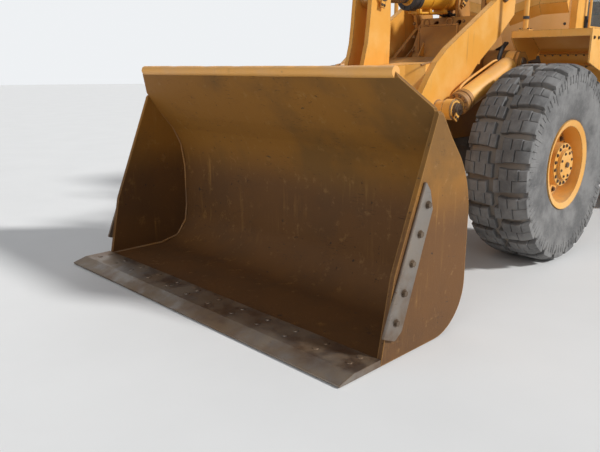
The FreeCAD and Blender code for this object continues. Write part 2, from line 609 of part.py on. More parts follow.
# Cutting edge
edge_outline = [
    (EDGE_TIP_X - 330.0, FLOOR_Z), (EDGE_TIP_X, FLOOR_Z), (EDGE_TIP_X, FLOOR_Z + 10.0),
    (EDGE_TIP_X - 110.0, FLOOR_Z + EDGE_T), (EDGE_TIP_X - 330.0, FLOOR_Z + EDGE_T),
]
cutting_edge = side_plate(edge_outline, -BUCKET_HALF, BUCKET_HALF)
save("cutting_edge", [cutting_edge])


# Cylinders of the arms and of the bucket
def barrel(base, tip, gland, radius, bore_r, y, width, eye_r, pin_r, neck):
    """Barrel with its base eye and gland, hollow where the rod runs."""
    start = toward(base, tip, neck)
    end = toward(base, tip, gland - 24.0)
    stop = toward(base, tip, gland)
    body = [
        rod((base[0], y, base[1]), (start[0], y, start[1]), width / 2.0 - 2.0),
        rod((start[0], y, start[1]), (end[0], y, end[1]), radius),
        rod((end[0], y, end[1]), (stop[0], y, stop[1]), radius * 0.86),
        rod_y(base, eye_r, y - width / 2.0, y + width / 2.0),
    ]
    whole = fused(body)
    bore_start = toward(base, tip, neck + 12.0)
    bore_end = toward(base, tip, gland + 10.0)
    whole = whole.cut(rod((bore_start[0], y, bore_start[1]), (bore_end[0], y, bore_end[1]), bore_r))
    return whole.cut(rod_y(base, pin_r + RUN_GAP, y - radius - 10.0, y + radius + 10.0))


def piston_rod(base, tip, tail, radius, y, width, eye_r, pin_r):
    start = toward(tip, base, tail)
    end = toward(tip, base, eye_r - 12.0)
    body = [
        rod((start[0], y, start[1]), (end[0], y, end[1]), radius),
        rod_y(tip, eye_r, y - width / 2.0, y + width / 2.0),
    ]
    return fused(body).cut(rod_y(tip, pin_r, y - width, y + width))


lift_barrel = barrel(LIFT_BASE, LIFT_EYE, LIFT_GLAND, LIFT_BARREL_R, LIFT_ROD_R + SLIDE_GAP, LIFT_Y,
                     LIFT_EYE_W, 95.0, LIFT_PIN_R, LIFT_NECK)
save("lift_cylinder_barrels", both_sides(lift_barrel))
lift_rod = piston_rod(
    LIFT_BASE, LIFT_EYE, LIFT_ROD_TAIL, LIFT_ROD_R, LIFT_Y, LIFT_EYE_W, LIFT_EYE_R, 44.0)
eye_pin = rod_y(LIFT_EYE, 50.0, LIFT_Y - LIFT_EYE_W / 2.0 + 4.0, LIFT_Y + LIFT_EYE_W / 2.0 + 26.0)
save("lift_cylinder_rods", both_sides(fused([lift_rod, eye_pin])))
save("bucket_cylinder_barrel", [barrel(
    TILT_BASE, CRANK_TOP, TILT_GLAND, TILT_BARREL_R, TILT_ROD_R + SLIDE_GAP, 0.0, TILT_EYE_W, TILT_EYE_R,
    TILT_PIN_R, TILT_NECK)])
save("bucket_cylinder_rod", [piston_rod(
    TILT_BASE, CRANK_TOP, TILT_ROD_TAIL, TILT_ROD_R, 0.0, TILT_EYE_W, 92.0, 46.0)])

# Rear frame: rails, hinge fork, cross members and tail
rails = both_sides(side_plate(
    [(-1900.0, 700.0), (-1900.0, RAIL_TOP), (-4650.0, RAIL_TOP), (-4650.0, 900.0), (-4000.0, 900.0),
     (-3800.0, TOWER_FOOT), (-2700.0, TOWER_FOOT), (-2400.0, 700.0)], RAIL_IN, RAIL_OUT))
fork_levels = (
    (HINGE_TOP + SIDE_GAP, HINGE_TOP + SIDE_GAP + 44.0),
    (HINGE_TOP - HINGE_PLATE - SIDE_GAP - 44.0, HINGE_TOP - HINGE_PLATE - SIDE_GAP),
    (HINGE_LOW + HINGE_PLATE + SIDE_GAP, HINGE_LOW + HINGE_PLATE + SIDE_GAP + 44.0),
    (HINGE_LOW - SIDE_GAP - 44.0, HINGE_LOW - SIDE_GAP),
)
forks = []
for z0, z1 in fork_levels:
    forks.append(level_plate(
        [(PIVOT_X, -HINGE_R), (PIVOT_X, HINGE_R), (-1930.0, RAIL_IN + 1.0), (-1930.0, -RAIL_IN - 1.0)],
        z0, z1))
    forks.append(rod((PIVOT_X, 0, z0), (PIVOT_X, 0, z1), HINGE_R))
bulkhead = box(-1930.0, -1900.0, -RAIL_OUT, RAIL_OUT, HINGE_LOW - SIDE_GAP - 44.0,
               HINGE_TOP + SIDE_GAP + 44.0)
hinge_pins = [
    rod((PIVOT_X, 0, fork_levels[1][0]), (PIVOT_X, 0, fork_levels[0][1] + 16.0), HINGE_PIN_R),
    rod((PIVOT_X, 0, fork_levels[3][0] - 16.0), (PIVOT_X, 0, fork_levels[2][1]), HINGE_PIN_R),
]
cross_members = [
    box(-3300.0, -3100.0, -RAIL_IN - 1.0, RAIL_IN + 1.0, 1100.0, RAIL_TOP),
    box(-4640.0, -4560.0, -RAIL_IN - 1.0, RAIL_IN + 1.0, 950.0, RAIL_TOP),
    box(-2600.0, -2500.0, -RAIL_IN - 1.0, RAIL_IN + 1.0, 1000.0, RAIL_TOP),
]
axle_saddles = both_sides(box(REAR_AXLE_X - 120.0, REAR_AXLE_X + 120.0, RAIL_OUT - 1.0, SADDLE_OUT,
                              TOWER_FOOT, RAIL_TOP))
steer_lug_rear = level_plate([(-2160.0, RAIL_OUT - 1.0), (-2010.0, RAIL_OUT - 1.0),
                              (-2010.0, 510.0), (-2110.0, 510.0)], STEER_Z - 60.0, STEER_Z - 30.0)
steer_x, steer_y = STEER_REAR
steer_pin = rod((steer_x, steer_y, STEER_Z - 75.0), (steer_x, steer_y, STEER_Z + 40.0), STEER_PIN_R)
steer_notch = box(-2000.0, -1895.0, RAIL_IN, RAIL_OUT + 6.0, STEER_Z - 65.0, STEER_Z + 65.0)
cab_mounts = []
for mount_x in (-1990.0, -2480.0):
    cab_mounts += both_sides(box(mount_x - 50.0, mount_x + 50.0, RAIL_OUT - 60.0, RAIL_OUT,
                                 RAIL_TOP - 1.0, CAB_FLOOR - 60.0))
rear_body = fused(rails + forks + [bulkhead] + cross_members + axle_saddles
                  + both_sides(steer_lug_rear) + both_sides(steer_pin) + hinge_pins + cab_mounts)
for notch in both_sides(steer_notch):
    rear_body = rear_body.cut(notch)
save("rear_frame", [rear_body])
save("rear_axle", [axle(REAR_AXLE_X, RAIL_OUT + 50.0, SADDLE_OUT)])
save("engine_block", [box(-4300.0, -3050.0, -RAIL_OUT, RAIL_OUT, RAIL_TOP, 2000.0)])

# Counterweight across the tail
WEIGHT_FRONT = TAIL_X + 500.0
WEIGHT_HALF = 1120.0
WEIGHT_LOW = 820.0
WEIGHT_TOP = 1480.0
WEIGHT_CORNER = (200.0, 220.0)  # along the machine and across it
tail_plan = [
    (WEIGHT_FRONT, -WEIGHT_HALF), (WEIGHT_FRONT, WEIGHT_HALF), (TAIL_X + WEIGHT_CORNER[0], WEIGHT_HALF),
    (TAIL_X, WEIGHT_HALF - WEIGHT_CORNER[1]), (TAIL_X, -WEIGHT_HALF + WEIGHT_CORNER[1]),
    (TAIL_X + WEIGHT_CORNER[0], -WEIGHT_HALF),
]
counterweight = level_plate(tail_plan, WEIGHT_LOW, WEIGHT_TOP)
tow_slot = box(TAIL_X - 10.0, TAIL_X + 160.0, -110.0, 110.0, WEIGHT_LOW + 80.0, WEIGHT_LOW + 200.0)
tow_bore = rod((TAIL_X + 80.0, 0, WEIGHT_LOW - 20.0), (TAIL_X + 80.0, 0, WEIGHT_LOW + 280.0), 26.0)
counterweight = counterweight.cut(tow_slot).cut(tow_bore)
save("counterweight", [counterweight])

# Side tanks with the steps in their faces
STEP_Z = (860.0, 1160.0)
STEP_H = 190.0
TANK_REAR = -2330.0
TANK_FRONT = -1990.0
TANK_IN = 560.0
TANK_OUT = 1180.0
TANK_LOW = 760.0
TANK_TOP = 1500.0
tank = box(TANK_REAR, TANK_FRONT, TANK_IN, TANK_OUT, TANK_LOW, TANK_TOP)
for step_z in STEP_Z:
    step_room = box(
        TANK_REAR + 30.0, TANK_FRONT - 30.0, TANK_OUT - 120.0, TANK_OUT + 10.0, step_z, step_z + STEP_H)
    tank = tank.cut(step_room)
tank_arm = box(TANK_REAR + 80.0, TANK_FRONT - 80.0, RAIL_OUT, TANK_IN + 5.0, 1000.0, 1150.0)
tread_z = TANK_LOW - 310.0
hangers = [box(TANK_REAR + 5.0, TANK_FRONT - 5.0, TANK_OUT - 100.0, TANK_OUT - 5.0, tread_z, tread_z + 26.0)]
for hanger_x in (TANK_REAR + 5.0, TANK_FRONT - 30.0):
    hangers.append(box(
        hanger_x, hanger_x + 25.0, TANK_OUT - 40.0, TANK_OUT - 10.0, tread_z + 10.0, TANK_LOW + 10.0))
side_tank = [tank, tank_arm] + hangers

# Cab: floor, shell with window openings, roof and panes
cab_floor = box(CAB_FRONT, CAB_REAR, -CAB_HALF, CAB_HALF, CAB_FLOOR - 60.0, CAB_FLOOR)
save("cab_floor", [cab_floor])
deck_skin = 40.0
DECK_Z = TANK_TOP + 60.0
deck = box(
    TANK_REAR - 50.0, TANK_FRONT + 10.0, CAB_HALF + 6.0, TANK_OUT, DECK_Z, DECK_Z + deck_skin)
deck_leg = box(
    TANK_REAR + 10.0, TANK_FRONT - 10.0, 900.0, TANK_OUT - 10.0, TANK_TOP - 1.0, DECK_Z + 1.0)
deck_arm = box(-2340.0, -2240.0, CAB_HALF - 100.0, CAB_HALF + 16.0, 1566.0, CAB_FLOOR - 60.0)
WALL = 50.0
CAB_HEAD = ROOF_TOP - 190.0
SILL = 2080.0
cab_outer = side_plate(
    [(CAB_FRONT, CAB_FLOOR), (CAB_FRONT, SILL), (CAB_FRONT - 90.0, CAB_HEAD), (CAB_REAR + 60.0, CAB_HEAD),
     (CAB_REAR, SILL), (CAB_REAR, CAB_FLOOR)], -CAB_HALF, CAB_HALF)
cab_inner = side_plate(
    [(CAB_FRONT - WALL, CAB_FLOOR - 1.0), (CAB_FRONT - WALL, SILL), (CAB_FRONT - 90.0 - WALL, CAB_HEAD + 1.0),
     (CAB_REAR + 60.0 + WALL, CAB_HEAD + 1.0), (CAB_REAR + WALL, SILL), (CAB_REAR + WALL, CAB_FLOOR - 1.0)],
    -CAB_HALF + WALL, CAB_HALF - WALL)
cab_shell = cab_outer.cut(cab_inner)
POST = 95.0                    # width of a corner post, seen from the front
WINDOW_TOP = CAB_HEAD - 60.0
front_window = box(
    CAB_FRONT - 200.0, CAB_FRONT + 20.0, -CAB_HALF + POST, CAB_HALF - POST, SILL, WINDOW_TOP)
rear_window = box(
    CAB_REAR - 20.0, CAB_REAR + 200.0, -CAB_HALF + POST, CAB_HALF - POST, SILL + 60.0, WINDOW_TOP)
DOOR_FRONT = -1290.0
DOOR_REAR = -2010.0
side_front = box(DOOR_REAR, DOOR_FRONT, CAB_HALF - 80.0, CAB_HALF + 20.0, CAB_FLOOR + 8.0, CAB_HEAD - 50.0)
side_rear = box(CAB_REAR + 150.0, DOOR_REAR - 75.0, CAB_HALF - 80.0, CAB_HALF + 20.0, SILL, WINDOW_TOP)
right_front = mirrored(box(DOOR_REAR, DOOR_FRONT, CAB_HALF - 80.0, CAB_HALF + 20.0, SILL, WINDOW_TOP))
for opening in (front_window, rear_window, side_front, side_rear, right_front, mirrored(side_rear)):
    cab_shell = cab_shell.cut(opening)
HINGE_AXIS = (DOOR_REAR - 6.0, CAB_HALF + 16.0)
LEAF_R = 15.0
KNUCKLE = 60.0
LEAF_PIN_R = 8.0
LEAF_GAP = 0.4
DOOR_HINGE_Z = (CAB_FLOOR + 240.0, CAB_HEAD - 300.0)


def hinge_carrier(place, z):
    """Fixed half of a door hinge: a leaf on the post, two knuckles and their pin."""
    x, y = place
    leaf = box(x - 60.0, x, y - 17.0, y - 4.0, z - 30.0, z + KNUCKLE + 30.0)
    leaf = leaf.cut(box(x - 20.0, x + 20.0, y - 20.0, y + 20.0, z - 2.0, z + KNUCKLE + 2.0))
    low = rod((x, y, z - 30.0), (x, y, z - 2.0), LEAF_R)
    high = rod((x, y, z + KNUCKLE + 2.0), (x, y, z + KNUCKLE + 30.0), LEAF_R)
    return fused([leaf, low, high, rod((x, y, z - 30.0), (x, y, z + KNUCKLE + 30.0), LEAF_PIN_R)])


def hinge_leaf(place, z):
    """Moving half of a door hinge, bored for the pin."""
    x, y = place
    leaf = box(x, x + 64.0, y - LEAF_R, y - 4.0, z, z + KNUCKLE)
    pad = box(x + 14.0, x + 64.0, CAB_HALF - 1.0, y - 4.0, z, z + KNUCKLE)
    body = leaf.fuse([pad, rod((x, y, z), (x, y, z + KNUCKLE), LEAF_R)])
    return body.cut(rod((x, y, z - 1.0), (x, y, z + KNUCKLE + 1.0), LEAF_PIN_R + LEAF_GAP))


cab_shell = fused([cab_shell] + [hinge_carrier(HINGE_AXIS, z) for z in DOOR_HINGE_Z])
save("cab_shell", [cab_shell])
roof = side_plate(
    [(CAB_FRONT + 40.0, CAB_HEAD), (CAB_FRONT + 40.0, CAB_HEAD + 110.0), (CAB_FRONT - 80.0, ROOF_TOP),
     (CAB_REAR + 60.0, ROOF_TOP), (CAB_REAR - 40.0, CAB_HEAD + 120.0), (CAB_REAR - 40.0, CAB_HEAD)],
    -CAB_HALF - 40.0, CAB_HALF + 40.0)
save("cab_roof", [roof])
PANE = 8.0
PANE_IN = 25.0                 # of a side pane's face, from the shell's
pane_far = CAB_HALF - PANE_IN
panes = [
    side_plate([(CAB_FRONT - 20.0, SILL), (CAB_FRONT - 20.0 - PANE, SILL),
                (CAB_FRONT - 103.0 - PANE, WINDOW_TOP), (CAB_FRONT - 103.0, WINDOW_TOP)],
               -CAB_HALF + POST, CAB_HALF - POST),
    side_plate([(CAB_REAR + 22.0, SILL + 60.0), (CAB_REAR + 22.0 + PANE, SILL + 60.0),
                (CAB_REAR + 77.0 + PANE, WINDOW_TOP), (CAB_REAR + 77.0, WINDOW_TOP)],
               -CAB_HALF + POST, CAB_HALF - POST),
]
side_pane = box(CAB_REAR + 150.0, DOOR_REAR - 75.0, pane_far - PANE, pane_far, SILL, WINDOW_TOP)
panes += both_sides(side_pane)
panes.append(mirrored(box(DOOR_REAR, DOOR_FRONT, pane_far - PANE, pane_far, SILL, WINDOW_TOP)))
save("cab_glass", panes)
door_gap = 6.0
door_z0 = CAB_FLOOR + 8.0 + door_gap
door_z1 = CAB_HEAD - 50.0 - door_gap
door = box(DOOR_REAR + door_gap, DOOR_FRONT - door_gap, CAB_HALF - 44.0, CAB_HALF, door_z0, door_z1)
door = door.cut(box(DOOR_REAR + 80.0, DOOR_FRONT - 80.0, CAB_HALF - 80.0, CAB_HALF + 20.0, SILL - 120.0,
                    door_z1 - 80.0))
GRIP_Z = (CAB_FLOOR + 220.0, CAB_FLOOR + 670.0)
grip_x = DOOR_FRONT - 45.0
grip = rod((grip_x, CAB_HALF + 42.0, GRIP_Z[0]), (grip_x, CAB_HALF + 42.0, GRIP_Z[1]), 12.0)
grip_feet = []
for foot_z in (GRIP_Z[0] - 10.0, GRIP_Z[1] - 14.0):
    grip_feet.append(box(
        grip_x - 12.0, grip_x + 12.0, CAB_HALF - 1.0, CAB_HALF + 50.0, foot_z, foot_z + 24.0))
door_leaves = [hinge_leaf(HINGE_AXIS, z) for z in DOOR_HINGE_Z]
save("cab_door", [fused([door, grip] + grip_feet + door_leaves)])
save("door_glass", [box(DOOR_REAR + 80.0, DOOR_FRONT - 80.0, CAB_HALF - 28.0, CAB_HALF - 20.0, SILL - 120.0,
                        door_z1 - 80.0)])
cab_height = CAB_HEAD - CAB_FLOOR
cushion_z = CAB_FLOOR + 0.27 * cab_height
seat = fused([
    box(-2280.0, -1820.0, -250.0, 250.0, cushion_z, cushion_z + 0.08 * cab_height),
    box(-2360.0, -2250.0, -240.0, 240.0, cushion_z + 0.05 * cab_height, CAB_FLOOR + 0.75 * cab_height),
    box(-2220.0, -1900.0, -180.0, 180.0, CAB_FLOOR, cushion_z + 1.0)])
save("seat", [seat])
column = rod((-1310.0, 0, CAB_FLOOR - 60.0), (-1566.0, 0, 2398.0), 42.0)
column = column.cut(box(-1500.0, -1100.0, -100.0, 100.0, CAB_FLOOR - 200.0, CAB_FLOOR))
section_points = []
for angle in range(0, 361, 60):
    turn = math.radians(angle)
    section_points.append(vec(190.0 + 15.0 * math.cos(turn), 0, 15.0 * math.sin(turn)))
ring_section = Part.makePolygon(section_points)
wheel_ring = Part.Face(ring_section).revolve(vec(0, 0, 0), vec(0, 0, 1), 360)
wheel_ring.rotate(vec(0, 0, 0), vec(0, 1, 0), -math.degrees(math.atan2(230.0, 700.0)))
wheel_ring.translate(vec(-1566.0, 0, 2398.0))
spoke = rod((-1566.0, -186.0, 2398.0), (-1566.0, 186.0, 2398.0), 12.0)
save("steering_console", [fused([column, wheel_ring, spoke])])

# Rear fenders, carried by the hood's sides
REAR_FENDER_OUT = TRACK / 2.0 + TYRE_W / 2.0 + 90.0
rear_arc = [
    (-2420.0, 1280.0), (-2400.0, 1560.0), (-2560.0, 1740.0), (-3900.0, 1740.0), (-4080.0, 1560.0),
    (-4056.0, 1552.0), (-3888.0, 1716.0), (-2570.0, 1716.0), (-2424.0, 1552.0), (-2444.0, 1280.0),
]
rear_fender = side_plate(rear_arc, HOOD_HALF, REAR_FENDER_OUT)
rear_fender = rear_fender.cut(box(HOOD_FRONT, 0.0, 0.0, CAB_HALF + 8.0, 1000.0, 2000.0))
save("rear_fenders", both_sides(rear_fender))

# Hood with louvred side covers and the tail grille
HOOD_SKIRT = RAIL_TOP + 60.0
HOOD_SHELF = WEIGHT_TOP + 10.0
HOOD_STEP = WEIGHT_FRONT + 10.0
hood_outer = side_plate(
    [(HOOD_FRONT, HOOD_SKIRT), (HOOD_FRONT, HOOD_TOP), (-4300.0, HOOD_TOP - 60.0),
     (HOOD_REAR, HOOD_TOP - 190.0),
     (HOOD_REAR, HOOD_SHELF), (HOOD_STEP, HOOD_SHELF), (HOOD_STEP, HOOD_SKIRT)], -HOOD_HALF, HOOD_HALF)
hood_inner = side_plate(
    [(HOOD_FRONT - HOOD_WALL, HOOD_SKIRT - 10.0), (HOOD_FRONT - HOOD_WALL, HOOD_TOP - HOOD_WALL),
     (-4300.0, HOOD_TOP - 60.0 - HOOD_WALL), (HOOD_REAR - 10.0, HOOD_TOP - 195.0 - HOOD_WALL),
     (HOOD_REAR - 10.0, HOOD_SHELF + HOOD_WALL), (HOOD_STEP + HOOD_WALL, HOOD_SHELF + HOOD_WALL),
     (HOOD_STEP + HOOD_WALL, HOOD_SKIRT - 10.0)],
    -HOOD_HALF + HOOD_WALL, HOOD_HALF - HOOD_WALL)
hood = hood_outer.cut(hood_inner)
COVER = (-4250.0, -3050.0, 1800.0, 2150.0)
cover_room = box(COVER[0], COVER[1], HOOD_HALF - 60.0, HOOD_HALF + 10.0, COVER[2], COVER[3])
for cutter in both_sides(cover_room):
    hood = hood.cut(cutter)
COVER_AXIS = (HOOD_HALF + 12.0, COVER[3] + 8.0)
COVER_HINGE_X = (COVER[0] + 200.0, COVER[1] - 260.0)


def cover_hinge(x):
    """Hood's half of a cover hinge: leaf, two knuckles and their pin along X."""
    y, z = COVER_AXIS
    leaf = box(x - 30.0, x + KNUCKLE + 30.0, y - 13.0, y - 4.0, z - 4.0, z + 60.0)
    leaf = leaf.cut(box(x - 2.0, x + KNUCKLE + 2.0, y - 14.0, y + 20.0, z - 20.0, z + 20.0))
    low = rod((x - 30.0, y, z), (x - 2.0, y, z), 11.0)
    high = rod((x + KNUCKLE + 2.0, y, z), (x + KNUCKLE + 30.0, y, z), 11.0)
    return fused([leaf, low, high, rod((x - 30.0, y, z), (x + KNUCKLE + 30.0, y, z), 6.0)])


def cover_leaf(x):
    """Cover's half of the hinge, bored for the pin."""
    y, z = COVER_AXIS
    leaf = box(x, x + KNUCKLE, y - 11.0, y - 4.0, z - 64.0, z)
    pad = box(x, x + KNUCKLE, HOOD_HALF - 1.0, y - 4.0, z - 64.0, z - 18.0)
    body = leaf.fuse([pad, rod((x, y, z), (x + KNUCKLE, y, z), 11.0)])
    return body.cut(rod((x - 1.0, y, z), (x + KNUCKLE + 1.0, y, z), 6.0 + LEAF_GAP))


for hinge_x in COVER_HINGE_X:
    hood = hood.fuse(both_sides(cover_hinge(hinge_x)))
HOOD_FOOT = (-2900.0, -2800.0)
hood_feet = both_sides(box(HOOD_FOOT[0], HOOD_FOOT[1], RAIL_IN, RAIL_OUT, RAIL_TOP, HOOD_SKIRT))
bar_half = HOOD_HALF - HOOD_WALL + 1.0
foot_bar = box(HOOD_FOOT[0], HOOD_FOOT[1], -bar_half, bar_half, HOOD_SKIRT - 1.0, HOOD_SKIRT + 30.0)
save("hood", [fused([hood, foot_bar] + hood_feet)])
cover = box(COVER[0] + 6.0, COVER[1] - 6.0, HOOD_HALF - 20.0, HOOD_HALF, COVER[2] + 6.0, COVER[3] - 6.0)
for index in range(9):
    slot_x = COVER[0] + 110.0 + index * 118.0
    cover = cover.cut(box(slot_x, slot_x + 70.0, HOOD_HALF - 40.0, HOOD_HALF + 10.0, COVER[2] + 70.0,
                          COVER[3] - 70.0))
cover = fused([cover] + [cover_leaf(hinge_x) for hinge_x in COVER_HINGE_X])
save("engine_cover_left", [cover])
save("engine_cover_right", [mirrored(cover)])
grille_half = HOOD_HALF - HOOD_WALL
grille_low = HOOD_SHELF + HOOD_WALL
grille = box(HOOD_REAR, HOOD_REAR + 24.0, -grille_half, grille_half, grille_low, HOOD_TOP - 222.0)
slot_half = HOOD_HALF - 140.0
for index in range(8):
    slot_z = grille_low + 66.0 + index * 58.0
    grille = grille.cut(box(HOOD_REAR - 10.0, HOOD_REAR + 40.0, -slot_half, slot_half, slot_z, slot_z + 30.0))
save("tail_grille", [grille])
stack = fused([rod((-3300.0, 300.0, 2250.0), (-3300.0, 300.0, 2850.0), 62.0),
               rod((-3300.0, 300.0, 2849.0), (-3380.0, 300.0, 2990.0), 58.0)])
intake = fused([rod((-3300.0, -320.0, 2250.0), (-3300.0, -320.0, 2560.0), 70.0),
                rod((-3300.0, -320.0, 2559.0), (-3300.0, -320.0, 2720.0), 130.0)])
save("hood_stacks", [stack.cut(hood_outer), intake.cut(hood_outer)])

# Handrails and rear lamps
RAIL_X = (TANK_REAR - 20.0, TANK_FRONT - 90.0)
RAIL_Y = TANK_OUT - 30.0
RAIL_HEAD = DECK_Z + 940.0
handrail = [rod((RAIL_X[0], RAIL_Y, RAIL_HEAD - 30.0), (RAIL_X[1], RAIL_Y, RAIL_HEAD - 30.0), 13.0)]
for rail_x in RAIL_X:
    handrail.append(rod((rail_x, RAIL_Y, DECK_Z + 30.0), (rail_x, RAIL_Y, RAIL_HEAD), 18.0))
side_group = fused(handrail).fuse(side_tank + [deck, deck_leg, deck_arm])
save("side_decks", both_sides(side_group))
rear_lamp = box(
    TAIL_X + 190.0, TAIL_X + 330.0, WEIGHT_HALF - 300.0, WEIGHT_HALF - 80.0, WEIGHT_TOP, WEIGHT_TOP + 100.0)
save("rear_lamps", both_sides(rear_lamp))

# Steering cylinders between the two frames
def steer_barrel(side):
    base = vec(STEER_REAR[0], side * STEER_REAR[1], STEER_Z)
    tip = vec(STEER_FRONT[0], side * STEER_FRONT[1], STEER_Z)
    along = (tip - base).normalize()
    body = Part.makeCylinder(STEER_BARREL_R, STEER_GLAND - 85.0, base + along * 85.0, along)
    body = body.fuse(Part.makeCylinder(23.0, 80.0, base + along * 10.0, along))
    eye = Part.makeCylinder(48.0, 50.0, vec(base.x, base.y, STEER_Z - 25.0))
    bore = Part.makeCylinder(STEER_ROD_R + SLIDE_GAP, STEER_GLAND, base + along * 100.0, along)
    pin_bore = Part.makeCylinder(STEER_PIN_R + RUN_GAP, 80.0, vec(base.x, base.y, STEER_Z - 40.0))
    return body.fuse([eye]).cut(bore).cut(pin_bore)


def steer_rod(side):
    base = vec(STEER_REAR[0], side * STEER_REAR[1], STEER_Z)
    tip = vec(STEER_FRONT[0], side * STEER_FRONT[1], STEER_Z)
    along = (base - tip).normalize()
    body = Part.makeCylinder(STEER_ROD_R, STEER_ROD_TAIL - 35.0, tip + along * 35.0, along)
    eye = Part.makeCylinder(46.0, 90.0, vec(tip.x, tip.y, STEER_Z - 55.0))
    pin_bore = Part.makeCylinder(STEER_PIN_R + RUN_GAP, 120.0, vec(tip.x, tip.y, STEER_Z - 70.0))
    return body.fuse([eye]).cut(pin_bore)


for side_name, side in (("left", 1.0), ("right", -1.0)):
    save("steer_barrel_" + side_name, [steer_barrel(side)])
    save("steer_rod_" + side_name, [steer_rod(side)])
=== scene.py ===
"""Looks of an articulated wheel loader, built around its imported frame."""

import json
import logging
import math
from dataclasses import dataclass, field
from enum import Enum

import bmesh
import bpy
from mathutils import Matrix, Vector, noise

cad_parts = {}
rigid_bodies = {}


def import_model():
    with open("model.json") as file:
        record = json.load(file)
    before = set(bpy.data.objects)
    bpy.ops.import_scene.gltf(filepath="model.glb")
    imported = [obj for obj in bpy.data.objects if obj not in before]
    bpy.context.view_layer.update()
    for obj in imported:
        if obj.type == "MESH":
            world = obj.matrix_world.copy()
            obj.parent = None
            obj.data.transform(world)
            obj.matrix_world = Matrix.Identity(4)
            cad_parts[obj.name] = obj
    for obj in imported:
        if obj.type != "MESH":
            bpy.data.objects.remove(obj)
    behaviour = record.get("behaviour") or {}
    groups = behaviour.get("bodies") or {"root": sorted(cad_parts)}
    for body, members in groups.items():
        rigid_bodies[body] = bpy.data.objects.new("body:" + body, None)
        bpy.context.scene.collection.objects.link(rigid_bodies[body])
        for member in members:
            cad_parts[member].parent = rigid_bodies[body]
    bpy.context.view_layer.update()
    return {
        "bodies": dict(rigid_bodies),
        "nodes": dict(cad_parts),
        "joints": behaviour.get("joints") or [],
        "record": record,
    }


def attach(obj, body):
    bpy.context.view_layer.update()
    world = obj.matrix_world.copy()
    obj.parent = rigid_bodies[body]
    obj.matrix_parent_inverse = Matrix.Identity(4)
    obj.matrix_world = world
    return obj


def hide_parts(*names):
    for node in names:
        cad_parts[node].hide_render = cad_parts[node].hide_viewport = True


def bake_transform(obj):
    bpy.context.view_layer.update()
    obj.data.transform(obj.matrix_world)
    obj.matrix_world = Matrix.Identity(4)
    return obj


LOG = logging.getLogger("wheel_loader")
Point = tuple[float, float, float]
Colour = tuple[float, float, float, float]


class Slot(Enum):
    """Material slots of the record."""

    PAINT = "yellow_paint"
    DARK = "dark_steel"
    WORN = "worn_steel"
    CHROME = "rod_chrome"
    RUBBER = "tyre_rubber"
    GLASS = "glass"
    PLASTIC = "black_plastic"
    LAMP = "lamp_clear"


# Node groups that several finishes share


def group_socket(tree: bpy.types.NodeTree, name: str, output: bool, kind: str, value: object = None) -> None:
    """Adds a named socket to a shader node group.

    Args:
        tree: The group.
        name: The socket's name.
        output: True for an output.
        kind: Float, Color or Vector.
        value: The input's default.
    """
    made = tree.interface.new_socket(
        name=name, in_out="OUTPUT" if output else "INPUT", socket_type="NodeSocket" + kind
    )
    if value is not None:
        made.default_value = value


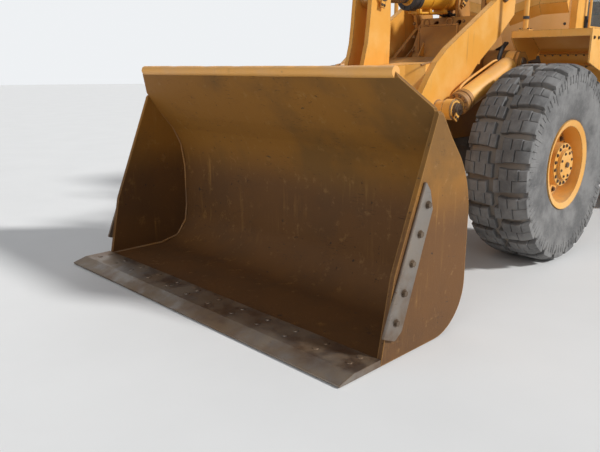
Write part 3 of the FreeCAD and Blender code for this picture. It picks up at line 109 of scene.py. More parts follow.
@dataclass
class Graph:
    """Short names for adding nodes to a material or a group."""

    tree: bpy.types.NodeTree

    def node(self, kind: str, **settings: object) -> bpy.types.Node:
        """Adds a node and sets its properties.

        Args:
            kind: The node's type without its ShaderNode prefix.
            **settings: Properties of the node.

        Returns:
            The node.
        """
        made = self.tree.nodes.new("ShaderNode" + kind)
        for key, value in settings.items():
            setattr(made, key, value)
        return made

    def link(self, source: bpy.types.NodeSocket, target: bpy.types.NodeSocket) -> None:
        """Joins two sockets."""
        self.tree.links.new(source, target)

    def feed(self, target: bpy.types.NodeSocket, value: object) -> None:
        """Sets a socket from another socket or from a plain value."""
        if isinstance(value, bpy.types.NodeSocket):
            self.link(value, target)
        else:
            target.default_value = value

    def math(self, operation: str, a: object, b: object = 0.0, clamp: bool = False) -> bpy.types.NodeSocket:
        """Adds a Math node.

        Args:
            operation: The operation's name.
            a: First value or socket.
            b: Second value or socket.
            clamp: Whether the result stays from 0 to 1.

        Returns:
            The result's socket.
        """
        made = self.node("Math", operation=operation, use_clamp=clamp)
        self.feed(made.inputs[0], a)
        self.feed(made.inputs[1], b)
        return made.outputs[0]

    def step(self, value: object, low: float, high: float) -> bpy.types.NodeSocket:
        """Maps a range smoothly to 0 to 1.

        Args:
            value: The value or socket.
            low: What becomes 0.
            high: What becomes 1.

        Returns:
            The result's socket.
        """
        made = self.node("MapRange", interpolation_type="SMOOTHSTEP")
        self.feed(made.inputs["Value"], value)
        made.inputs["From Min"].default_value = low
        made.inputs["From Max"].default_value = high
        return made.outputs["Result"]

    def mix(self, factor: object, a: object, b: object) -> bpy.types.NodeSocket:
        """Mixes two colours.

        Args:
            factor: The share of the second.
            a: First colour or socket.
            b: Second colour or socket.

        Returns:
            The mixed colour's socket.
        """
        made = self.node("Mix", data_type="RGBA")
        self.feed(made.inputs["Factor"], factor)
        self.feed(made.inputs[6], a)
        self.feed(made.inputs[7], b)
        return made.outputs[2]

    def noise(self, vector: bpy.types.NodeSocket, scale: float, detail: float, rough: float = 0.55) -> bpy.types.NodeSocket:
        """Adds a Noise Texture.

        Args:
            vector: Where it reads.
            scale: Waves per metre.
            detail: Number of octaves.
            rough: How strong the fine octaves are.

        Returns:
            The value's socket.
        """
        made = self.node("TexNoise")
        self.link(vector, made.inputs["Vector"])
        made.inputs["Scale"].default_value = scale
        made.inputs["Detail"].default_value = detail
        made.inputs["Roughness"].default_value = rough
        return made.outputs["Fac"]

    def stretched(self, vector: bpy.types.NodeSocket, scale: Point, turn: Point = (0.0, 0.0, 0.0)) -> bpy.types.NodeSocket:
        """Scales and turns coordinates.

        Args:
            vector: The coordinates.
            scale: Scale on each axis.
            turn: Turn on each axis, in radians.

        Returns:
            The new coordinates' socket.
        """
        made = self.node("Mapping")
        self.link(vector, made.inputs["Vector"])
        made.inputs["Scale"].default_value = scale
        made.inputs["Rotation"].default_value = turn
        return made.outputs["Vector"]


class SharedGroups:
    """Shader node groups for wear, dust and grain, each built once."""

    def __init__(self) -> None:
        """Builds the groups."""
        self.edges = self._edges()
        self.weather = self._weather()
        self.scuffs = self._scuffs()

    def _start(self, name: str) -> tuple[Graph, bpy.types.Node, bpy.types.Node]:
        """A new group with its input and output nodes."""
        graph = Graph(bpy.data.node_groups.new(name, "ShaderNodeTree"))
        return graph, graph.tree.nodes.new("NodeGroupInput"), graph.tree.nodes.new("NodeGroupOutput")

    def _edges(self) -> bpy.types.NodeTree:
        """Mask of worn edges: where a rounded normal leaves the flat one."""
        graph, inputs, outputs = self._start("EdgeWear")
        group_socket(graph.tree, "Vector", False, "Vector")
        group_socket(graph.tree, "Amount", False, "Float", 0.5)
        group_socket(graph.tree, "Mask", True, "Float")
        bevel = graph.node("Bevel", samples=4)
        bevel.inputs["Radius"].default_value = 0.012
        shape = graph.node("NewGeometry")
        dot = graph.node("VectorMath", operation="DOT_PRODUCT")
        graph.link(bevel.outputs["Normal"], dot.inputs[0])
        graph.link(shape.outputs["Normal"], dot.inputs[1])
        edge = graph.step(graph.math("SUBTRACT", 1.0, dot.outputs["Value"]), 0.01, 0.16)
        rough = graph.noise(inputs.outputs["Vector"], 34.0, 6.0, 0.7)
        broken = graph.step(graph.math("ADD", rough, graph.math("MULTIPLY", inputs.outputs["Amount"], 0.35)), 0.5, 0.68)
        graph.link(graph.math("MULTIPLY", edge, broken, True), outputs.inputs["Mask"])
        return graph.tree

    def _weather(self) -> bpy.types.NodeTree:
        """Masks of dust that lies on top and near the ground, of streaks that run down, and of blotches."""
        graph, inputs, outputs = self._start("Weather")
        group_socket(graph.tree, "Vector", False, "Vector")
        for name in ("Dust", "Streaks", "Blotches"):
            group_socket(graph.tree, name, True, "Float")
        vector = inputs.outputs["Vector"]
        shape = graph.node("NewGeometry")
        facing = graph.node("SeparateXYZ")
        graph.link(shape.outputs["Normal"], facing.inputs[0])
        place = graph.node("SeparateXYZ")
        graph.link(vector, place.inputs[0])
        lying = graph.step(facing.outputs["Z"], 0.35, 1.0)
        low = graph.step(graph.math("SUBTRACT", 1.5, place.outputs["Z"]), 0.0, 1.4)
        grains = graph.step(graph.noise(vector, 7.0, 7.0, 0.62), 0.36, 0.66)
        dust = graph.math("MULTIPLY", graph.math("ADD", graph.math("MULTIPLY", lying, 0.75), graph.math("MULTIPLY", low, 0.7)), grains, True)
        graph.link(dust, outputs.inputs["Dust"])
        runs = graph.noise(graph.stretched(vector, (26.0, 26.0, 1.4)), 1.0, 4.0, 0.6)
        upright = graph.step(graph.math("SUBTRACT", 1.0, graph.math("ABSOLUTE", facing.outputs["Z"])), 0.3, 0.9)
        patches = graph.step(graph.noise(vector, 2.3, 3.0), 0.45, 0.7)
        streaks = graph.math("MULTIPLY", graph.math("MULTIPLY", graph.step(runs, 0.54, 0.74), upright), patches, True)
        graph.link(streaks, outputs.inputs["Streaks"])
        graph.link(graph.step(graph.noise(vector, 3.1, 6.0, 0.6), 0.38, 0.68), outputs.inputs["Blotches"])
        return graph.tree

    def _scuffs(self) -> bpy.types.NodeTree:
        """Masks of long scratches and of small chips."""
        graph, inputs, outputs = self._start("Scuffs")
        group_socket(graph.tree, "Vector", False, "Vector")
        group_socket(graph.tree, "Amount", False, "Float", 0.5)
        group_socket(graph.tree, "Scratches", True, "Float")
        group_socket(graph.tree, "Chips", True, "Float")
        vector, amount = inputs.outputs["Vector"], inputs.outputs["Amount"]
        total: object = 0.0
        for scale, turn in (
            ((12.0, 17.0, 210.0), (0.75, 0.3, 0.4)), ((14.0, 11.0, 260.0), (-0.6, 0.5, -0.3)),
            ((190.0, 12.0, 16.0), (0.4, -0.5, 0.9)),
        ):
            line = graph.noise(graph.stretched(vector, scale, turn), 1.0, 2.0, 0.5)
            total = graph.math("MAXIMUM", total, graph.step(line, 0.67, 0.74))
        broken = graph.step(graph.noise(vector, 4.0, 5.0), 0.50, 0.66)
        graph.link(graph.math("MULTIPLY", graph.math("MULTIPLY", total, broken), amount, True), outputs.inputs["Scratches"])
        spots = graph.noise(vector, 26.0, 8.0, 0.72)
        edge = graph.math("SUBTRACT", 0.76, graph.math("MULTIPLY", amount, 0.12))
        chips = graph.node("MapRange", interpolation_type="SMOOTHSTEP")
        graph.link(spots, chips.inputs["Value"])
        graph.link(edge, chips.inputs["From Min"])
        graph.link(graph.math("ADD", edge, 0.03), chips.inputs["From Max"])
        graph.link(chips.outputs["Result"], outputs.inputs["Chips"])
        return graph.tree


@dataclass
class Surface:
    """What a finish starts from: its material, graph, shader and coordinates."""

    material: bpy.types.Material
    graph: Graph
    shader: bpy.types.Node
    vector: bpy.types.NodeSocket

    @classmethod
    def named(cls, name: str, roughness: float, metallic: float = 0.0) -> "Surface":
        """Starts a node material.

        Args:
            name: The material's name.
            roughness: The shader's own roughness.
            metallic: The shader's own metallic value.

        Returns:
            The started surface.
        """
        material = bpy.data.materials.new(name)
        material.use_nodes = True
        graph = Graph(material.node_tree)
        shader = material.node_tree.nodes["Principled BSDF"]
        shader.inputs["Roughness"].default_value = roughness
        shader.inputs["Metallic"].default_value = metallic
        coordinates = graph.node("TexCoord")
        return cls(material, graph, shader, coordinates.outputs["Object"])

    def group(self, tree: bpy.types.NodeTree, **values: float) -> bpy.types.Node:
        """Places a shared group.

        Args:
            tree: The group.
            **values: Values for its inputs.

        Returns:
            The group's node.
        """
        made = self.graph.node("Group", node_tree=tree)
        self.graph.link(self.vector, made.inputs["Vector"])
        for key, value in values.items():
            made.inputs[key].default_value = value
        return made

    def bump(self, height: bpy.types.NodeSocket, distance: float, strength: float = 1.0) -> None:
        """Feeds the shader's normal from a height in metres.

        Args:
            height: The height's socket.
            distance: What a height of 1 stands for.
            strength: How much of it shows.
        """
        made = self.graph.node("Bump")
        made.inputs["Distance"].default_value = distance
        made.inputs["Strength"].default_value = strength
        self.graph.link(height, made.inputs["Height"])
        self.graph.link(made.outputs["Normal"], self.shader.inputs["Normal"])


@dataclass(frozen=True)
class PaintFinish:
    """Weathered machine paint: faded, dusty, chipped to a dark primer at its edges."""

    name: str
    colour: Colour = (0.76, 0.350, 0.050, 1.0)
    faded: Colour = (0.80, 0.430, 0.110, 1.0)
    chip: Colour = (0.10, 0.060, 0.035, 1.0)
    dust: Colour = (0.46, 0.310, 0.170, 1.0)
    streak: Colour = (0.36, 0.180, 0.050, 1.0)
    wear: float = 0.45
    scuff: float = 0.2
    dust_share: float = 0.45
    roughness: float = 0.46

    def build(self, groups: SharedGroups) -> bpy.types.Material:
        """Builds the material.

        Args:
            groups: The shared node groups.

        Returns:
            The material.
        """
        surface = Surface.named(self.name, self.roughness)
        graph = surface.graph
        weather = surface.group(groups.weather)
        edges = surface.group(groups.edges, Amount=self.wear)
        scuffs = surface.group(groups.scuffs, Amount=self.scuff)
        colour = graph.mix(weather.outputs["Blotches"], self.colour, self.faded)
        colour = graph.mix(graph.math("MULTIPLY", weather.outputs["Streaks"], 0.55), colour, self.streak)
        colour = graph.mix(graph.math("MULTIPLY", scuffs.outputs["Scratches"], 0.8), colour, self.chip)
        lost = graph.math("MAXIMUM", graph.math("MULTIPLY", edges.outputs["Mask"], min(1.0, 1.6 * self.wear)), scuffs.outputs["Chips"])
        colour = graph.mix(lost, colour, self.chip)
        dusty = graph.math("MULTIPLY", weather.outputs["Dust"], self.dust_share)
        colour = graph.mix(dusty, colour, self.dust)
        graph.link(colour, surface.shader.inputs["Base Color"])
        rough = graph.math("ADD", self.roughness, graph.math("MULTIPLY", graph.math("MAXIMUM", dusty, lost), 0.36), True)
        graph.link(rough, surface.shader.inputs["Roughness"])
        peel = graph.noise(surface.vector, 210.0, 2.0)
        height = graph.math("SUBTRACT", graph.math("MULTIPLY", peel, 0.25), lost)
        surface.bump(height, 0.0006, 0.6)
        return surface.material


@dataclass(frozen=True)
class DirtyShadedPaintFinish:
    """Paint rubbed and caked by the load: scraped in long lines, brown with old earth, its dark base partly painted
    shade.
    """

    name: str
    # dark brown base colour: partly real earth, partly painted shade of the bucket's shaded inside
    colour: Colour = (0.285, 0.118, 0.010, 1.0)
    earth: Colour = (0.185, 0.084, 0.012, 1.0)
    rust: Colour = (0.085, 0.034, 0.010, 1.0)
    bare: Colour = (0.028, 0.017, 0.010, 1.0)
    pale: Colour = (0.400, 0.200, 0.045, 1.0)

    def build(self, groups: SharedGroups) -> bpy.types.Material:
        """Builds the material.

        Args:
            groups: The shared node groups.

        Returns:
            The material.
        """
        surface = Surface.named(self.name, 0.62)
        graph = surface.graph
        weather = surface.group(groups.weather)
        scuffs = surface.group(groups.scuffs, Amount=1.0)
        edges = surface.group(groups.edges, Amount=0.8)
        place = graph.node("SeparateXYZ")
        graph.link(surface.vector, place.inputs[0])
        broad = graph.noise(surface.vector, 1.7, 5.0, 0.6)
        low = graph.step(graph.math("SUBTRACT", 1.15, graph.math("ADD", place.outputs["Z"], graph.math("MULTIPLY", broad, 0.35))), 0.0, 0.35)
        colour = graph.mix(graph.step(broad, 0.40, 0.66), self.colour, self.earth)
        colour = graph.mix(graph.math("MULTIPLY", low, 0.75), colour, self.rust)
        colour = graph.mix(graph.math("MULTIPLY", weather.outputs["Streaks"], 0.4), colour, self.pale)
        marks = graph.math("MAXIMUM", scuffs.outputs["Scratches"], scuffs.outputs["Chips"])
        colour = graph.mix(marks, colour, self.bare)
        rub = graph.step(graph.noise(surface.vector, 11.0, 9.0, 0.72), 0.56, 0.70)
        colour = graph.mix(graph.math("MULTIPLY", rub, 0.28), colour, self.pale)
        colour = graph.mix(graph.math("MULTIPLY", edges.outputs["Mask"], 0.8), colour, self.pale)
        graph.link(colour, surface.shader.inputs["Base Color"])
        graph.link(graph.math("SUBTRACT", 0.74, graph.math("MULTIPLY", rub, 0.22)), surface.shader.inputs["Roughness"])
        grit = graph.noise(surface.vector, 60.0, 8.0, 0.7)
        height = graph.math("SUBTRACT", graph.math("ADD", graph.math("MULTIPLY", broad, 2.0), grit), graph.math("MULTIPLY", marks, 1.2))
        surface.bump(height, 0.0022, 0.8)
        return surface.material


@dataclass(frozen=True)
class SteelFinish:
    """Painted or bare steel with oil, rust specks and dust."""

    name: str
    colour: Colour
    second: Colour
    metallic: float = 0.0
    roughness: float = 0.5
    dust: Colour = (0.34, 0.25, 0.16, 1.0)
    dust_share: float = 0.5
    scuff: float = 0.3

    def build(self, groups: SharedGroups) -> bpy.types.Material:
        """Builds the material.

        Args:
            groups: The shared node groups.

        Returns:
            The material.
        """
        surface = Surface.named(self.name, self.roughness, self.metallic)
        graph = surface.graph
        weather = surface.group(groups.weather)
        scuffs = surface.group(groups.scuffs, Amount=self.scuff)
        edges = surface.group(groups.edges, Amount=0.5)
        colour = graph.mix(weather.outputs["Blotches"], self.colour, self.second)
        marks = graph.math("MAXIMUM", graph.math("MULTIPLY", edges.outputs["Mask"], 0.7), scuffs.outputs["Scratches"])
        colour = graph.mix(marks, colour, self.second)
        dusty = graph.math("MULTIPLY", weather.outputs["Dust"], self.dust_share)
        colour = graph.mix(dusty, colour, self.dust)
        graph.link(colour, surface.shader.inputs["Base Color"])
        rough = graph.math("ADD", self.roughness, graph.math("MULTIPLY", dusty, 0.4), True)
        graph.link(rough, surface.shader.inputs["Roughness"])
        surface.bump(graph.noise(surface.vector, 120.0, 5.0, 0.6), 0.0006, 0.5)
        return surface.material


@dataclass(frozen=True)
class RubberFinish:
    """Tyre rubber, grey with dust that is thick between the lugs and thin on their tops."""

    name: str
    colour: Colour = (0.108, 0.106, 0.104, 1.0)
    worn: Colour = (0.205, 0.200, 0.193, 1.0)
    dust: Colour = (0.26, 0.220, 0.180, 1.0)
    tread: bool = True

    def build(self, groups: SharedGroups) -> bpy.types.Material:
        """Builds the material.

        Args:
            groups: The shared node groups.

        Returns:
            The material.
        """
        surface = Surface.named(self.name, 0.82)
        graph = surface.graph
        broad = graph.noise(surface.vector, 5.0, 7.0, 0.65)
        fine = graph.noise(surface.vector, 48.0, 8.0, 0.7)
        colour = graph.mix(graph.step(broad, 0.36, 0.66), self.colour, self.worn)
        colour = graph.mix(graph.math("MULTIPLY", graph.step(fine, 0.5, 0.72), 0.55), colour, self.worn)
        if self.tread:
            depth = graph.node("Attribute", attribute_name="groove")
            packed = graph.step(graph.math("ADD", depth.outputs["Fac"], graph.math("MULTIPLY", fine, 0.5)), 0.55, 1.15)
            colour = graph.mix(graph.math("MULTIPLY", packed, 0.8), colour, self.dust)
        edges = surface.group(groups.edges, Amount=0.35)
        colour = graph.mix(graph.math("MULTIPLY", edges.outputs["Mask"], 0.35), colour, self.worn)
        graph.link(colour, surface.shader.inputs["Base Color"])
        grain = graph.noise(surface.vector, 160.0, 4.0, 0.6)
        surface.bump(graph.math("ADD", grain, graph.math("MULTIPLY", broad, 2.0)), 0.0016, 0.7)
        return surface.material


@dataclass(frozen=True)
class PlainFinish:
    """Plastic, chrome or a lamp's shell: one colour broken by fine grain and a breath of dust."""

    name: str
    colour: Colour
    roughness: float = 0.45
    metallic: float = 0.0
    grain: float = 90.0
    relief: float = 0.0004
    dust: Colour = (0.36, 0.29, 0.21, 1.0)
    dust_share: float = 0.25

    def build(self, groups: SharedGroups) -> bpy.types.Material:
        """Builds the material.

        Args:
            groups: The shared node groups.

        Returns:
            The material.
        """
        surface = Surface.named(self.name, self.roughness, self.metallic)
        graph = surface.graph
        weather = surface.group(groups.weather)
        grain = graph.noise(surface.vector, self.grain, 4.0)
        shade = graph.mix(graph.math("MULTIPLY", grain, 0.35), self.colour, tuple(0.6 * c for c in self.colour[:3]) + (1.0,))
        dusty = graph.math("MULTIPLY", weather.outputs["Dust"], self.dust_share)
        graph.link(graph.mix(dusty, shade, self.dust), surface.shader.inputs["Base Color"])
        rough = graph.math("ADD", self.roughness, graph.math("MULTIPLY", graph.math("ADD", dusty, grain), 0.18), True)
        graph.link(rough, surface.shader.inputs["Roughness"])
        surface.bump(grain, self.relief, 0.6)
        return surface.material


@dataclass(frozen=True)
class GlassFinish:
    """Window glass with a slight tint, dust and wiped streaks."""

    name: str
    alpha: float = 0.30

    def build(self, groups: SharedGroups) -> bpy.types.Material:
        """Builds the material.

        Args:
            groups: The shared node groups.

        Returns:
            The material.
        """
        surface = Surface.named(self.name, 0.06)
        graph = surface.graph
        weather = surface.group(groups.weather)
        haze = graph.math("ADD", graph.math("MULTIPLY", weather.outputs["Streaks"], 0.25), graph.math("MULTIPLY", weather.outputs["Blotches"], 0.10))
        graph.link(graph.mix(haze, (0.10, 0.13, 0.13, 1.0), (0.42, 0.38, 0.30, 1.0)), surface.shader.inputs["Base Color"])
        graph.link(graph.math("ADD", self.alpha, haze, True), surface.shader.inputs["Alpha"])
        graph.link(graph.math("ADD", 0.05, graph.math("MULTIPLY", haze, 0.5)), surface.shader.inputs["Roughness"])
        return surface.material


@dataclass(frozen=True)
class LensFinish:
    """Ribbed lamp lens in its own colour."""

    name: str
    colour: Colour
    ribs: float = 180.0

    def build(self, groups: SharedGroups) -> bpy.types.Material:
        """Builds the material.

        Args:
            groups: The shared node groups.

        Returns:
            The material.
        """
        surface = Surface.named(self.name, 0.12)
        graph = surface.graph
        wave = graph.node("TexWave", bands_direction="Y")
        graph.link(surface.vector, wave.inputs["Vector"])
        wave.inputs["Scale"].default_value = self.ribs / 6.0
        weather = surface.group(groups.weather)
        shade = graph.mix(wave.outputs["Fac"], self.colour, tuple(0.45 * c for c in self.colour[:3]) + (1.0,))
        dusty = graph.math("MULTIPLY", weather.outputs["Blotches"], 0.25)
        graph.link(graph.mix(dusty, shade, (0.40, 0.34, 0.26, 1.0)), surface.shader.inputs["Base Color"])
        surface.shader.inputs["Coat Weight"].default_value = 0.6
        surface.bump(wave.outputs["Fac"], 0.0015, 0.8)
        return surface.material


@dataclass
class Finishes:
    """Every material of the machine."""

    groups: SharedGroups = field(default_factory=SharedGroups)
    made: dict[str, bpy.types.Material] = field(default_factory=dict)

    def build(self) -> None:
        """Builds the materials."""
        kinds = [
            PaintFinish("PaintYellow"),
            PaintFinish("PaintRubbed", wear=0.9, scuff=0.6, dust_share=0.6),
            PaintFinish("PaintCylinder", colour=(0.72, 0.330, 0.022, 1.0), faded=(0.76, 0.380, 0.050, 1.0), wear=0.3),
            PaintFinish("PaintPanel", faded=(0.80, 0.420, 0.090, 1.0), wear=0.3, scuff=0.1, dust_share=0.35, roughness=0.4),
            PaintFinish("LipPaint", colour=(0.80, 0.400, 0.100, 1.0), faded=(0.74, 0.400, 0.150, 1.0), chip=(0.20, 0.100, 0.036, 1.0), wear=0.0, scuff=0.5, dust_share=0.8, roughness=0.55),
            # paler paint that stands for sunlit paint: painted light
            PaintFinish("PaintLitPale", colour=(0.90, 0.520, 0.180, 1.0), faded=(0.92, 0.560, 0.240, 1.0), dust=(0.70, 0.520, 0.320, 1.0), wear=0.25, scuff=0.1, dust_share=0.5, roughness=0.5),
            # darker brown soiled paint, partly real dirt and partly painted shade of shaded front faces
            PaintFinish("PaintSoiled", colour=(0.50, 0.225, 0.040, 1.0), faded=(0.36, 0.170, 0.045, 1.0), dust=(0.26, 0.150, 0.070, 1.0), wear=0.7, scuff=0.4, dust_share=0.8, roughness=0.6),
            # the bucket's inside: dark dirty paint that is partly painted shade
            DirtyShadedPaintFinish("BucketInside"),
            SteelFinish("DarkSteel", (0.030, 0.030, 0.032, 1.0), (0.075, 0.068, 0.060, 1.0), 0.0, 0.5),
            SteelFinish("BareSteel", (0.30, 0.27, 0.24, 1.0), (0.17, 0.105, 0.065, 1.0), 0.85, 0.42, scuff=0.9),
            SteelFinish("PinSteel", (0.16, 0.12, 0.085, 1.0), (0.09, 0.055, 0.035, 1.0), 0.7, 0.5),
            SteelFinish("WeldBead", (0.46, 0.210, 0.045, 1.0), (0.20, 0.105, 0.050, 1.0), 0.0, 0.55),
            SteelFinish("SootSteel", (0.060, 0.045, 0.038, 1.0), (0.13, 0.070, 0.040, 1.0), 0.4, 0.62),
            PlainFinish("RodChrome", (0.78, 0.78, 0.78, 1.0), 0.14, 1.0, 40.0, 0.0001, dust_share=0.1),
            PlainFinish("BlackPlastic", (0.022, 0.022, 0.024, 1.0), 0.55),
            PlainFinish("HoseRubber", (0.020, 0.019, 0.019, 1.0), 0.62, grain=240.0),
            PlainFinish("CushionCloth", (0.050, 0.052, 0.058, 1.0), 0.9, grain=420.0, relief=0.0016),
            PlainFinish("LampShell", (0.030, 0.030, 0.032, 1.0), 0.42),
            PlainFinish("Reflector", (0.74, 0.74, 0.72, 1.0), 0.18, 0.9, 30.0, 0.0002, dust_share=0.05),
            PlainFinish("PlateWhite", (0.62, 0.62, 0.60, 1.0), 0.4),
            RubberFinish("TyreTread"),
            RubberFinish("TyreWall", colour=(0.125, 0.127, 0.130, 1.0), worn=(0.19, 0.19, 0.188, 1.0), tread=False),
            GlassFinish("CabGlass"),
            LensFinish("LensClear", (0.78, 0.80, 0.80, 1.0)),
            LensFinish("LensAmber", (0.85, 0.26, 0.02, 1.0)),
            LensFinish("LensRed", (0.50, 0.015, 0.010, 1.0)),
        ]
        for kind in kinds:
            self.made[kind.name] = kind.build(self.groups)

    def __getitem__(self, name: str) -> bpy.types.Material:
        """The material of that name."""
        return self.made[name]


# Making meshes


@dataclass
class Maker:
    """One piece in the making: a mesh that bmesh operators shape, then an object that rides on a body."""

    name: str
    bm: bmesh.types.BMesh = field(default_factory=bmesh.new)

    def box(self, low: Point, high: Point, bevel: float = 0.0, segments: int = 2) -> list[bmesh.types.BMVert]:
        """Adds a block with rounded edges.

        Args:
            low: One corner.
            high: The opposite corner.
            bevel: Radius of its edges.
            segments: Faces round each edge.

        Returns:
            Its vertices.
        """
        a, b = Vector(low), Vector(high)
        size = Vector(abs(b[i] - a[i]) for i in range(3))
        matrix = Matrix.Translation((a + b) / 2.0) @ Matrix.Diagonal((*size, 1.0))
        made = bmesh.ops.create_cube(self.bm, size=1.0, matrix=matrix)["verts"]
        if bevel > 0.0:
            edges = list({e for v in made for e in v.link_edges})
            done = bmesh.ops.bevel(
                self.bm, geom=edges, offset=bevel, offset_type="OFFSET", segments=segments,
                profile=0.5, affect="EDGES", material=-1,
            )
            made = list({v for f in done["faces"] for v in f.verts} | {v for v in made if v.is_valid})
        return made

    def rod(self, start: Point, end: Point, radius: float, sides: int = 24, far: float | None = None, bevel: float = 0.0) -> list[bmesh.types.BMVert]:
        """Adds a closed cylinder or cone between two points.

        Args:
            start: Middle of its first end.
            end: Middle of its other end.
            radius: Radius at the first end.
            sides: Number of sides.
            far: Radius at the other end, if it differs.
            bevel: Radius of its end edges.

        Returns:
            Its vertices.
        """
        a, b = Vector(start), Vector(end)
        along = b - a
        turn = along.to_track_quat("Z", "Y").to_matrix().to_4x4()
        matrix = Matrix.Translation((a + b) / 2.0) @ turn
        made = bmesh.ops.create_cone(
            self.bm, cap_ends=True, cap_tris=False, segments=sides, radius1=radius,
            radius2=radius if far is None else far, depth=along.length, matrix=matrix,
        )["verts"]
        if bevel > 0.0:
            rims = [e for e in {e for v in made for e in v.link_edges} if any(len(f.verts) > 4 for f in e.link_faces)]
            bmesh.ops.bevel(
                self.bm, geom=rims, offset=bevel, offset_type="OFFSET", segments=2, profile=0.5,
                affect="EDGES", material=-1,
            )
        return made

    def bolt(self, place: Point, toward: Point, size: float = 0.012) -> None:
        """Adds a hexagon head on a washer.

        Args:
            place: Middle of the washer's seat.
            toward: The way the head points.
            size: Radius of the head.
        """
        base, way = Vector(place), Vector(toward).normalized()
        self.rod(base - way * 0.003, base + way * 0.003, size * 1.35, 14)
        self.rod(base + way * 0.003, base + way * size * 0.95, size, 6)

    def weld(self, start: Point, end: Point, size: float) -> None:
        """Adds a weld bead: short overlapping beads between two points.

        Args:
            start: Where it starts.
            end: Where it ends.
            size: Radius of the bead.
        """
        a, b = Vector(start), Vector(end)
        count = max(1, round((b - a).length / (size * 2.4)))
        for index in range(count):
            near, far = a.lerp(b, index / count), a.lerp(b, (index + 1.25) / count)
            self.rod(near, far, size * 0.8, 6, size * 1.05)

    def plate(self, corners: list[Point], thickness: Point, bevel: float = 0.0) -> None:
        """Adds a flat plate from its outline.

        Args:
            corners: The outline.
            thickness: How far, and which way, it is thick.
            bevel: Radius of its edges.
        """
        before = set(self.bm.edges)
        face = self.bm.faces.new([self.bm.verts.new(corner) for corner in corners])
        made = bmesh.ops.extrude_face_region(self.bm, geom=[face])["geom"]
        bmesh.ops.translate(self.bm, verts=[v for v in made if isinstance(v, bmesh.types.BMVert)], vec=thickness)
        if bevel > 0.0:
            edges = [e for e in self.bm.edges if e not in before]
            bmesh.ops.bevel(
                self.bm, geom=edges, offset=bevel, offset_type="OFFSET", segments=1, profile=0.5,
                affect="EDGES", material=-1,
            )

    def ring(self, profile: list[tuple[float, float]], centre: Point, axis: str, steps: int = 48) -> None:
        """Spins a closed outline about an axis.

        Args:
            profile: (radius, distance along the axis) of each corner.
            centre: The ring's middle.
            axis: X, Y or Z.
            steps: Faces round the ring.
        """
        ways = {"X": (Vector((0, 0, 1)), Vector((1, 0, 0))), "Y": (Vector((1, 0, 0)), Vector((0, 1, 0))), "Z": (Vector((1, 0, 0)), Vector((0, 0, 1)))}
        out, along = ways[axis]
        middle = Vector(centre)
        corners = [self.bm.verts.new(middle + out * radius + along * offset) for radius, offset in profile]
        edges = [self.bm.edges.new((corners[i], corners[(i + 1) % len(corners)])) for i in range(len(corners))]
        bmesh.ops.spin(
            self.bm, geom=corners + edges, cent=middle, axis=along, angle=math.tau, steps=steps,
            use_merge=True, use_duplicate=False,
        )

    def mirrored(self) -> None:
        """Copies everything so far to the other side of the machine."""
        bmesh.ops.mirror(self.bm, geom=self.bm.verts[:] + self.bm.edges[:] + self.bm.faces[:], axis="Y", merge_dist=-1.0, matrix=Matrix())

    def finish(self, body: str, material: bpy.types.Material, slot: Slot, angle: float = 34.0) -> bpy.types.Object:
        """Makes the object and lets it ride.

        Args:
            body: The body it rides on.
            material: Its finish.
            slot: The record's material slot; not used.
            angle: Edges sharper than this stay sharp, in degrees.

        Returns:
            The object.
        """
        bmesh.ops.remove_doubles(self.bm, verts=self.bm.verts[:], dist=0.00001)
        bmesh.ops.recalc_face_normals(self.bm, faces=self.bm.faces[:])
        mesh = bpy.data.meshes.new(self.name)
        self.bm.to_mesh(mesh)
        self.bm.free()
        mesh.materials.append(material)
        mesh.shade_smooth()
        mesh.set_sharp_from_angle(angle=math.radians(angle))
        made = bpy.data.objects.new(self.name, mesh)
        bpy.context.scene.collection.objects.link(made)
        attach(made, body)
        LOG.info("piece %s: %d faces", self.name, len(mesh.polygons))
        return made


def hose(
    name: str, runs: list[list[Point]], radius: float, body: str, material: bpy.types.Material,
    bend: tuple[str, Point, Point] | None = None,
) -> bpy.types.Object:
    """Makes fixed hoses or pipes along smooth lines.

    Args:
        name: The piece's name.
        runs: Points of each hose's line.
        radius: Outer radius.
        body: The body it rides on.
        material: Its finish.
        bend: The body that its far end should follow and where the bend starts and ends; only whether it is given is
            read, and then the hoses become a plain mesh that rides on no body.

    Returns:
        The object.
    """
    curve = bpy.data.curves.new(name, "CURVE")
    curve.dimensions = "3D"
    curve.bevel_depth = radius
    curve.bevel_resolution = 3
    curve.use_fill_caps = True
    curve.resolution_u = 8
    for run in runs:
        spline = curve.splines.new("NURBS")
        spline.points.add(len(run) - 1)
        for point, place in zip(spline.points, run):
            point.co = (*place, 1.0)
        spline.order_u = 3
        spline.use_endpoint_u = True
    curve.materials.append(material)
    made = bpy.data.objects.new(name, curve)
    bpy.context.scene.collection.objects.link(made)
    if bend is None:
        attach(made, body)
    else:
        bpy.context.view_layer.update()
        mesh = bpy.data.meshes.new_from_object(made)
        bpy.data.objects.remove(made)
        made = bpy.data.objects.new(name, mesh)
        bpy.context.scene.collection.objects.link(made)
        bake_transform(made)
    return made


# The machine's own sizes, in metres

SHIFT = 1.1


def at(x: float, y: float, z: float) -> Point:
    """A point given from the front axle, in the part's frame."""
    return (x + SHIFT, y, z)


